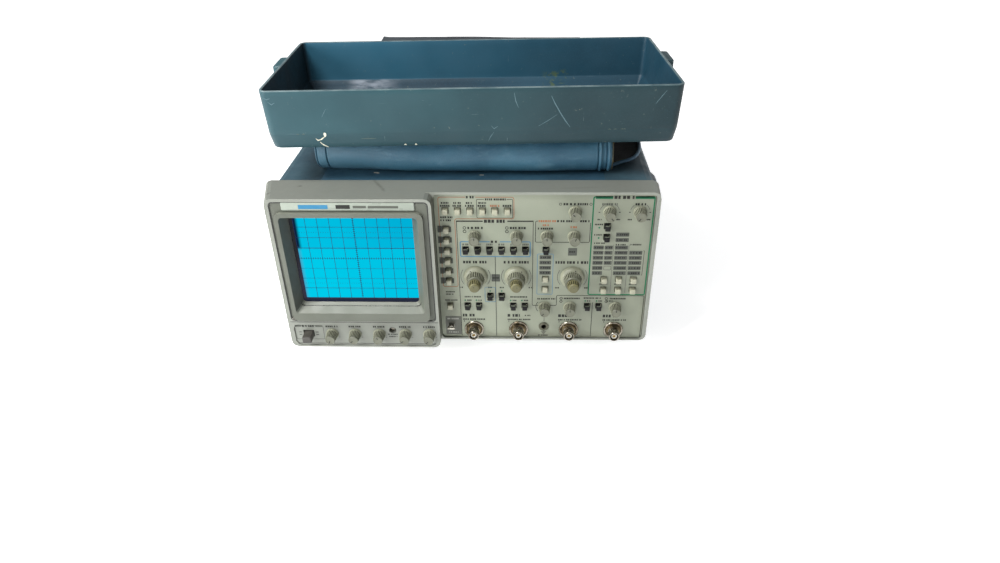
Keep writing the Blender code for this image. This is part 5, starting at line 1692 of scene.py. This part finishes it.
def bump_at(x, centre, half_width):
    """1 at the centre, 0 at half_width and beyond."""
    away = abs(x - centre) / half_width
    return 0.0 if away >= 1 else 0.5 + 0.5 * math.cos(math.pi * away)


def pouch():
    rings = simulated_pouch()
    middle_x = sum(POUCH_X) / 2
    grooves = ((-125.6, 0.9, -1.5), (-116.9, 0.9, -1.3), (113.0, 0.8, -1.2), (120.2, 0.8, -1.2))
    beads = ((115.0, 1.2, 0.9), (122.2, 1.3, 1.0))
    places = [POUCH_X[0] + 1.0 * i for i in range(14)]
    places += [POUCH_X[0] + 14 + 3.4 * i for i in range(66)]
    places += [middle_x + 112.4 + 0.55 * i for i in range(24)]
    places = sorted(set(round(x, 3) for x in places if x <= POUCH_X[1] - 0.2)) + [POUCH_X[1]]
    fine = []
    for x in places:
        if x < -112:
            fine += [x, x + 0.33, x + 0.66]
        else:
            fine.append(x)
    outer = []
    for x in fine:
        shift = sum(depth * bump_at(x, centre, half) for centre, half, depth in grooves + beads)
        shift -= 0.8 * max(0.0, (-124.9 - x) / 2.1) ** 2
        shift -= 0.5 * bump_at(x, 118.0, 3.0)
        section = offset_ring(ring_at(rings, x), shift)
        lowest = spot(0, 0, POUCH_LOW).z
        outer.append([Vector((x * MM, p.y, max(p.z, lowest))) for p in section])
    shape = bmesh.new()
    inner = []
    for x in [places[-1] - 0.6] + [places[-1] - 4 - 9 * i for i in range(27)]:
        inner.append([Vector((x * MM, p.y, p.z)) for p in offset_ring(ring_at(rings, x), -1.7)])
    centre = spot(0, POUCH_MIDDLE, 163.4)

    def shrunk(ring, amount, shift_mm):
        return [Vector((p.x + shift_mm * MM, centre.y + (p.y - centre.y) * amount,
                        centre.z + (p.z - centre.z) * amount)) for p in ring]

    end = [shrunk(outer[0], 0.3, -1.0), shrunk(outer[0], 0.75, -0.9), shrunk(outer[0], 0.96, -0.5)]
    closing = [shrunk(inner[-1], 0.75, 0.0), shrunk(inner[-1], 0.3, 0.0)]
    rim = [offset_ring(outer[-1], -0.85)]
    for p in rim[0]:
        p.x += 0.5 * MM
    # The inside of the open end is near black: painted shade.
    bands = [0] * (len(end) + len(outer)) + [1] * (len(inner) + len(closing))
    add_rings(shape, end + outer + rim + inner + closing, bands)
    made = piece("accessory_pouch_shell", shape, MAIN, [POUCH_VINYL, POUCH_INSIDE_SHADE],
                 ("accessory_pouch",), 60)
    return rings


def zip_and_flap(rings):
    """Zip teeth round the open end, and the end flap folded out on the cabinet: its body near black as
    painted shadow, its edge bead a paler vinyl as painted highlight.
    """
    ring = offset_ring(ring_at(rings, POUCH_X[1]), -0.9)
    x_zip = (POUCH_X[1] + 1.2) * MM
    path = [Vector((x_zip - 0.4 * MM, p.y, p.z)) for p in ring]
    shape = bmesh.new()
    add_tube(shape, path, 0.75, 8, 0, closed=True)
    count = len(path)
    carried = 0.0
    for i in range(count):
        step = path[(i + 1) % count] - path[i]
        carried += step.length / MM
        if carried < 2.6:
            continue
        carried = 0.0
        if i % 3 == 0:
            along = step.normalized()
            side = Vector((1, 0, 0))
            up = along.cross(side)
            here = Vector((x_zip, path[i].y, path[i].z))
            corners = ((-1, -1), (1, -1), (1, 1), (-1, 1))
            rings_here = [[here + along * u * 0.55 * MM + up * v * 0.6 * MM + side * lift * MM
                           for u, v in corners] for lift in (-0.2, 0.7)]
            add_rings(shape, rings_here, 1)
    piece("pouch_zip", shape, MAIN, [ZIP_TAPE, BRASS])
    edge = []
    plan = ((124.6, 65.0, 147.9), (127.3, 66.3, 148.5), (131.3, 68.2, 149.4), (135.8, 69.8, 150.2),
            (140.2, 71.0, 150.9), (143.8, 72.8, 151.5), (146.8, 75.4, 152.2), (149.6, 79.4, 153.2),
            (151.8, 85.2, 154.2), (153.2, 93.0, 155.2), (154.0, 104.0, 156.0), (154.2, 125.0, 156.4),
            (154.0, 160.0, 156.6), (153.6, 200.0, 156.6), (152.8, 250.0, 156.4), (151.8, 300.0, 155.8),
            (150.6, 335.0, 155.2), (148.0, 352.0, 154.2), (142.0, 362.0, 152.8), (133.0, 368.0, 151.0),
            (124.4, 371.0, 149.0))
    for i in range(len(plan) - 1):
        for step in range(6):
            t = step / 6
            edge.append([a + (b - a) * t for a, b in zip(plan[i], plan[i + 1])])
    edge.append(list(plan[-1]))
    shape = bmesh.new()
    sections = []
    root_x, root_height = 123.2, POUCH_LOW + 0.5
    for i, (x, depth, height) in enumerate(edge):
        t = i / (len(edge) - 1)
        root_depth = 66 + (362 - 66) * t
        upper, lower = [], []
        for k in range(9):
            s = k / 8
            px = root_x + (x - root_x) * s
            pd = root_depth + (depth - root_depth) * s
            ph = root_height + (height - root_height) * s ** 2.6
            ph += 0.5 * noise.noise(Vector((px * 0.07, pd * 0.05, 3.0)))
            upper.append(spot(px, pd, max(ph, POUCH_LOW + 0.4) + 0.9))
            lower.append(spot(px, pd, max(ph, POUCH_LOW + 0.4) - 0.35))
        sections.append(upper + lower[::-1])
    made = [[shape.verts.new(p) for p in ring] for ring in sections]
    for first, second in zip(made, made[1:]):
        bridge(shape, first, second, 2)
    for ring in (made[0], made[-1]):
        shape.faces.new(ring)
    add_tube(shape, [spot(x + 0.2, d, h + 0.6) for x, d, h in edge], 1.5, 12, 0)
    add_tube(shape, [spot(x - 1.2, d + 0.8, h + 1.6) for x, d, h in edge[:26]], 0.6, 8, 1)
    flap = piece("pouch_flap", shape, MAIN, [FLAP_EDGE_LIT, ZIP_TAPE, FLAP_INSIDE_SHADE], (), 50)


def rear_lid():
    """Thin lid of the pouch: it stands up a little behind the cover."""
    shape = bmesh.new()
    sections = []
    for i in range(40):
        x = -122.0 + 240.0 * i / 39
        sink = 1.5 * min(1.0, max(0.0, (x + 25.0) / 71.0)) ** 1.3
        upper, lower = [], []
        for k in range(9):
            t = k / 8
            depth = 338.0 + 46.0 * t
            lift = 0.25 * noise.noise(Vector((x * 0.05, depth * 0.04, 5.0))) + (0.8 if i == 0 else 0.0)
            height = 180.3 + 1.6 * t + lift - sink * t
            upper.append(spot(x, depth, height + 0.6))
            lower.append(spot(x, depth, height - 0.6))
        sections.append(upper + lower[::-1])
    add_rings(shape, sections)
    add_tube(shape, [(section[0] + section[-1]) / 2 for section in sections], 0.8, 8, 0)
    for hem in (0.07, 0.10):
        stitches = [section[0].lerp(section[8], hem) for section in sections]
        add_tube(shape, stitches, 0.22, 6, 1)
    made = piece("pouch_rear_lid", shape, MAIN, [LID_VINYL, ZIP_TAPE], (), 50)


def vinyl(name, base, light, dark, worn_and_lit, gloss=0.42):
    """Vinyl-coated cloth: leather-like cells, rubbed patches that are partly wear and partly painted sheen,
    dust in the hollows, and painted light that makes it paler towards the left.
    """
    finish = Finish(name, gloss)
    tone = finish.mix(finish.fade(finish.noise(20, 4.0), 0.34, 0.66), dark, light)
    colour = finish.mix(0.55, base, tone)
    cells = finish.cells(1150, (1, 1, 1))
    grain = finish.fade(cells, 0.02, 0.22)
    colour = finish.mix(finish.both(finish.calc("SUBTRACT", 1.0, grain), 0.3), colour, dark)
    # Rubbed patches: partly wear, partly painted sheen.
    sheen_and_rub = finish.fade(finish.noise(34, 5.0, 0.65, (1, 2.4, 2.4)), 0.52, 0.70, 0.0, 0.45)
    colour = finish.mix(sheen_and_rub, colour, worn_and_lit)
    scuff = finish.fade(finish.noise(240, 3.0, 0.7), 0.66, 0.78, 0.0, 0.35)
    colour = finish.mix(scuff, colour, worn_and_lit)
    # Painted light: paler towards the left.
    colour = finish.mix(finish.between(0, -30, -112, 0.0, 0.3), colour, worn_and_lit)
    finish.colour(colour)
    finish.roughness(finish.fade(finish.noise(46, 4.0), 0.3, 0.7, gloss - 0.08, gloss + 0.14))
    finish.bump(grain, 0.10)
    return finish.bump(finish.noise(300, 3.0), 0.12).material


POUCH_VINYL = vinyl("pouch_vinyl", rgb(58, 101, 122), rgb(68, 116, 138), rgb(44, 82, 104),
                    rgb(94, 131, 148))
# Near-black copy for the pouch's inner faces: painted shade.
POUCH_INSIDE_SHADE = vinyl("pouch_inside_painted_shade", rgb(10, 12, 15), rgb(14, 17, 21), rgb(6, 8, 10), rgb(22, 26, 31), 0.7)
# Near-black copy for the flap's body: painted shadow.
FLAP_INSIDE_SHADE = vinyl("flap_inside_painted_shadow", rgb(12, 15, 20), rgb(17, 21, 28), rgb(8, 10, 13), rgb(30, 40, 52), 0.75)
# Paler copy of the pouch vinyl for the flap's edge bead: painted highlight.
FLAP_EDGE_LIT = vinyl("flap_edge_painted_highlight", rgb(66, 104, 128), rgb(80, 120, 144), rgb(46, 78, 102), rgb(122, 156, 174))
ZIP_TAPE = moulded("zip_tape", rgb(74, 74, 58), light=rgb(90, 90, 70), dark=rgb(50, 50, 42), roughness=0.8,
                   patch=300, specks=0.2, grain=0.05)
LID_VINYL = vinyl("lid_vinyl", rgb(42, 49, 55), rgb(52, 60, 66), rgb(33, 38, 44), rgb(76, 86, 92), 0.55)
rear_lid()
zip_and_flap(pouch())


# ------------------------------------------------------------------ camera and light

FOCAL_LENGTH = 25.63
CAMERA_PLACE = (0.0502, -0.7212, 0.4111)
CAMERA_TURN = (32.354, 2.187, -0.8915)


def camera():
    """Camera above the front, looking down; CAMERA_TURN is its pitch, yaw and roll in degrees."""
    data = bpy.data.cameras.new("camera")
    data.lens = FOCAL_LENGTH
    data.sensor_width = 36.0
    holder = bpy.data.objects.new("camera", data)
    bpy.context.scene.collection.objects.link(holder)
    pitch, yaw, roll = (math.radians(angle) for angle in CAMERA_TURN)
    turn = (Matrix.Rotation(roll, 3, "Y") @ Matrix.Rotation(pitch, 3, "X")
            @ Matrix.Rotation(yaw, 3, "Z").transposed())
    right, forward, up = turn
    basis = Matrix((right, up, -forward)).transposed()
    holder.matrix_world = Matrix.Translation(CAMERA_PLACE) @ basis.to_4x4()
    bpy.context.scene.camera = holder


def lamp(name, kind, energy, location, target, size):
    """Light aimed at a target; size is a width in metres, or an angle in degrees for a sun."""
    data = bpy.data.lights.new(name, kind)
    data.energy = energy
    if kind == "AREA":
        data.size = size
    else:
        data.angle = math.radians(size)
    holder = bpy.data.objects.new(name, data)
    bpy.context.scene.collection.objects.link(holder)
    holder.location = location
    holder.rotation_euler = (Vector(target) - Vector(location)).to_track_quat("-Z", "Y").to_euler()


def studio():
    """White floor, a soft key light from the front left, and a weak light from behind."""
    shape = bmesh.new()
    reach = 12.0
    just_below = -0.0002
    corners = ((-reach, -reach), (reach, -reach), (reach, reach), (-reach, reach))
    shape.faces.new([shape.verts.new((x, y, just_below)) for x, y in corners])
    mesh = bpy.data.meshes.new("floor")
    shape.to_mesh(mesh)
    shape.free()
    floor = bpy.data.objects.new("floor", mesh)
    bpy.context.scene.collection.objects.link(floor)
    finish = Finish("floor", 0.9)
    finish.colour(finish.mix(finish.noise(2), rgb(250, 250, 250), rgb(246, 246, 246)))
    finish.shader.inputs["Emission Color"].default_value = (1.0, 1.0, 1.0, 1.0)
    finish.shader.inputs["Emission Strength"].default_value = 0.6
    mesh.materials.append(finish.material)
    lamp("key", "AREA", 13.0, (-0.45, -0.50, 1.00), (0.0, -0.1, 0.1), 0.40)
    lamp("side", "AREA", 9.0, (-0.80, -0.78, 0.42), (0.0, -0.15, 0.12), 0.50)
    lamp("rear_fill", "SUN", 0.3, (1.2, 1.8, 1.4), (0, 0, 0.1), 30)
    world = bpy.data.worlds.new("studio")
    bpy.context.scene.world = world
    world.use_nodes = True
    world.node_tree.nodes["Background"].inputs["Color"].default_value = (1.0, 1.0, 1.0, 1.0)
    world.node_tree.nodes["Background"].inputs["Strength"].default_value = 0.45
    bpy.context.scene.view_settings.view_transform = "Standard"


camera()
studio()
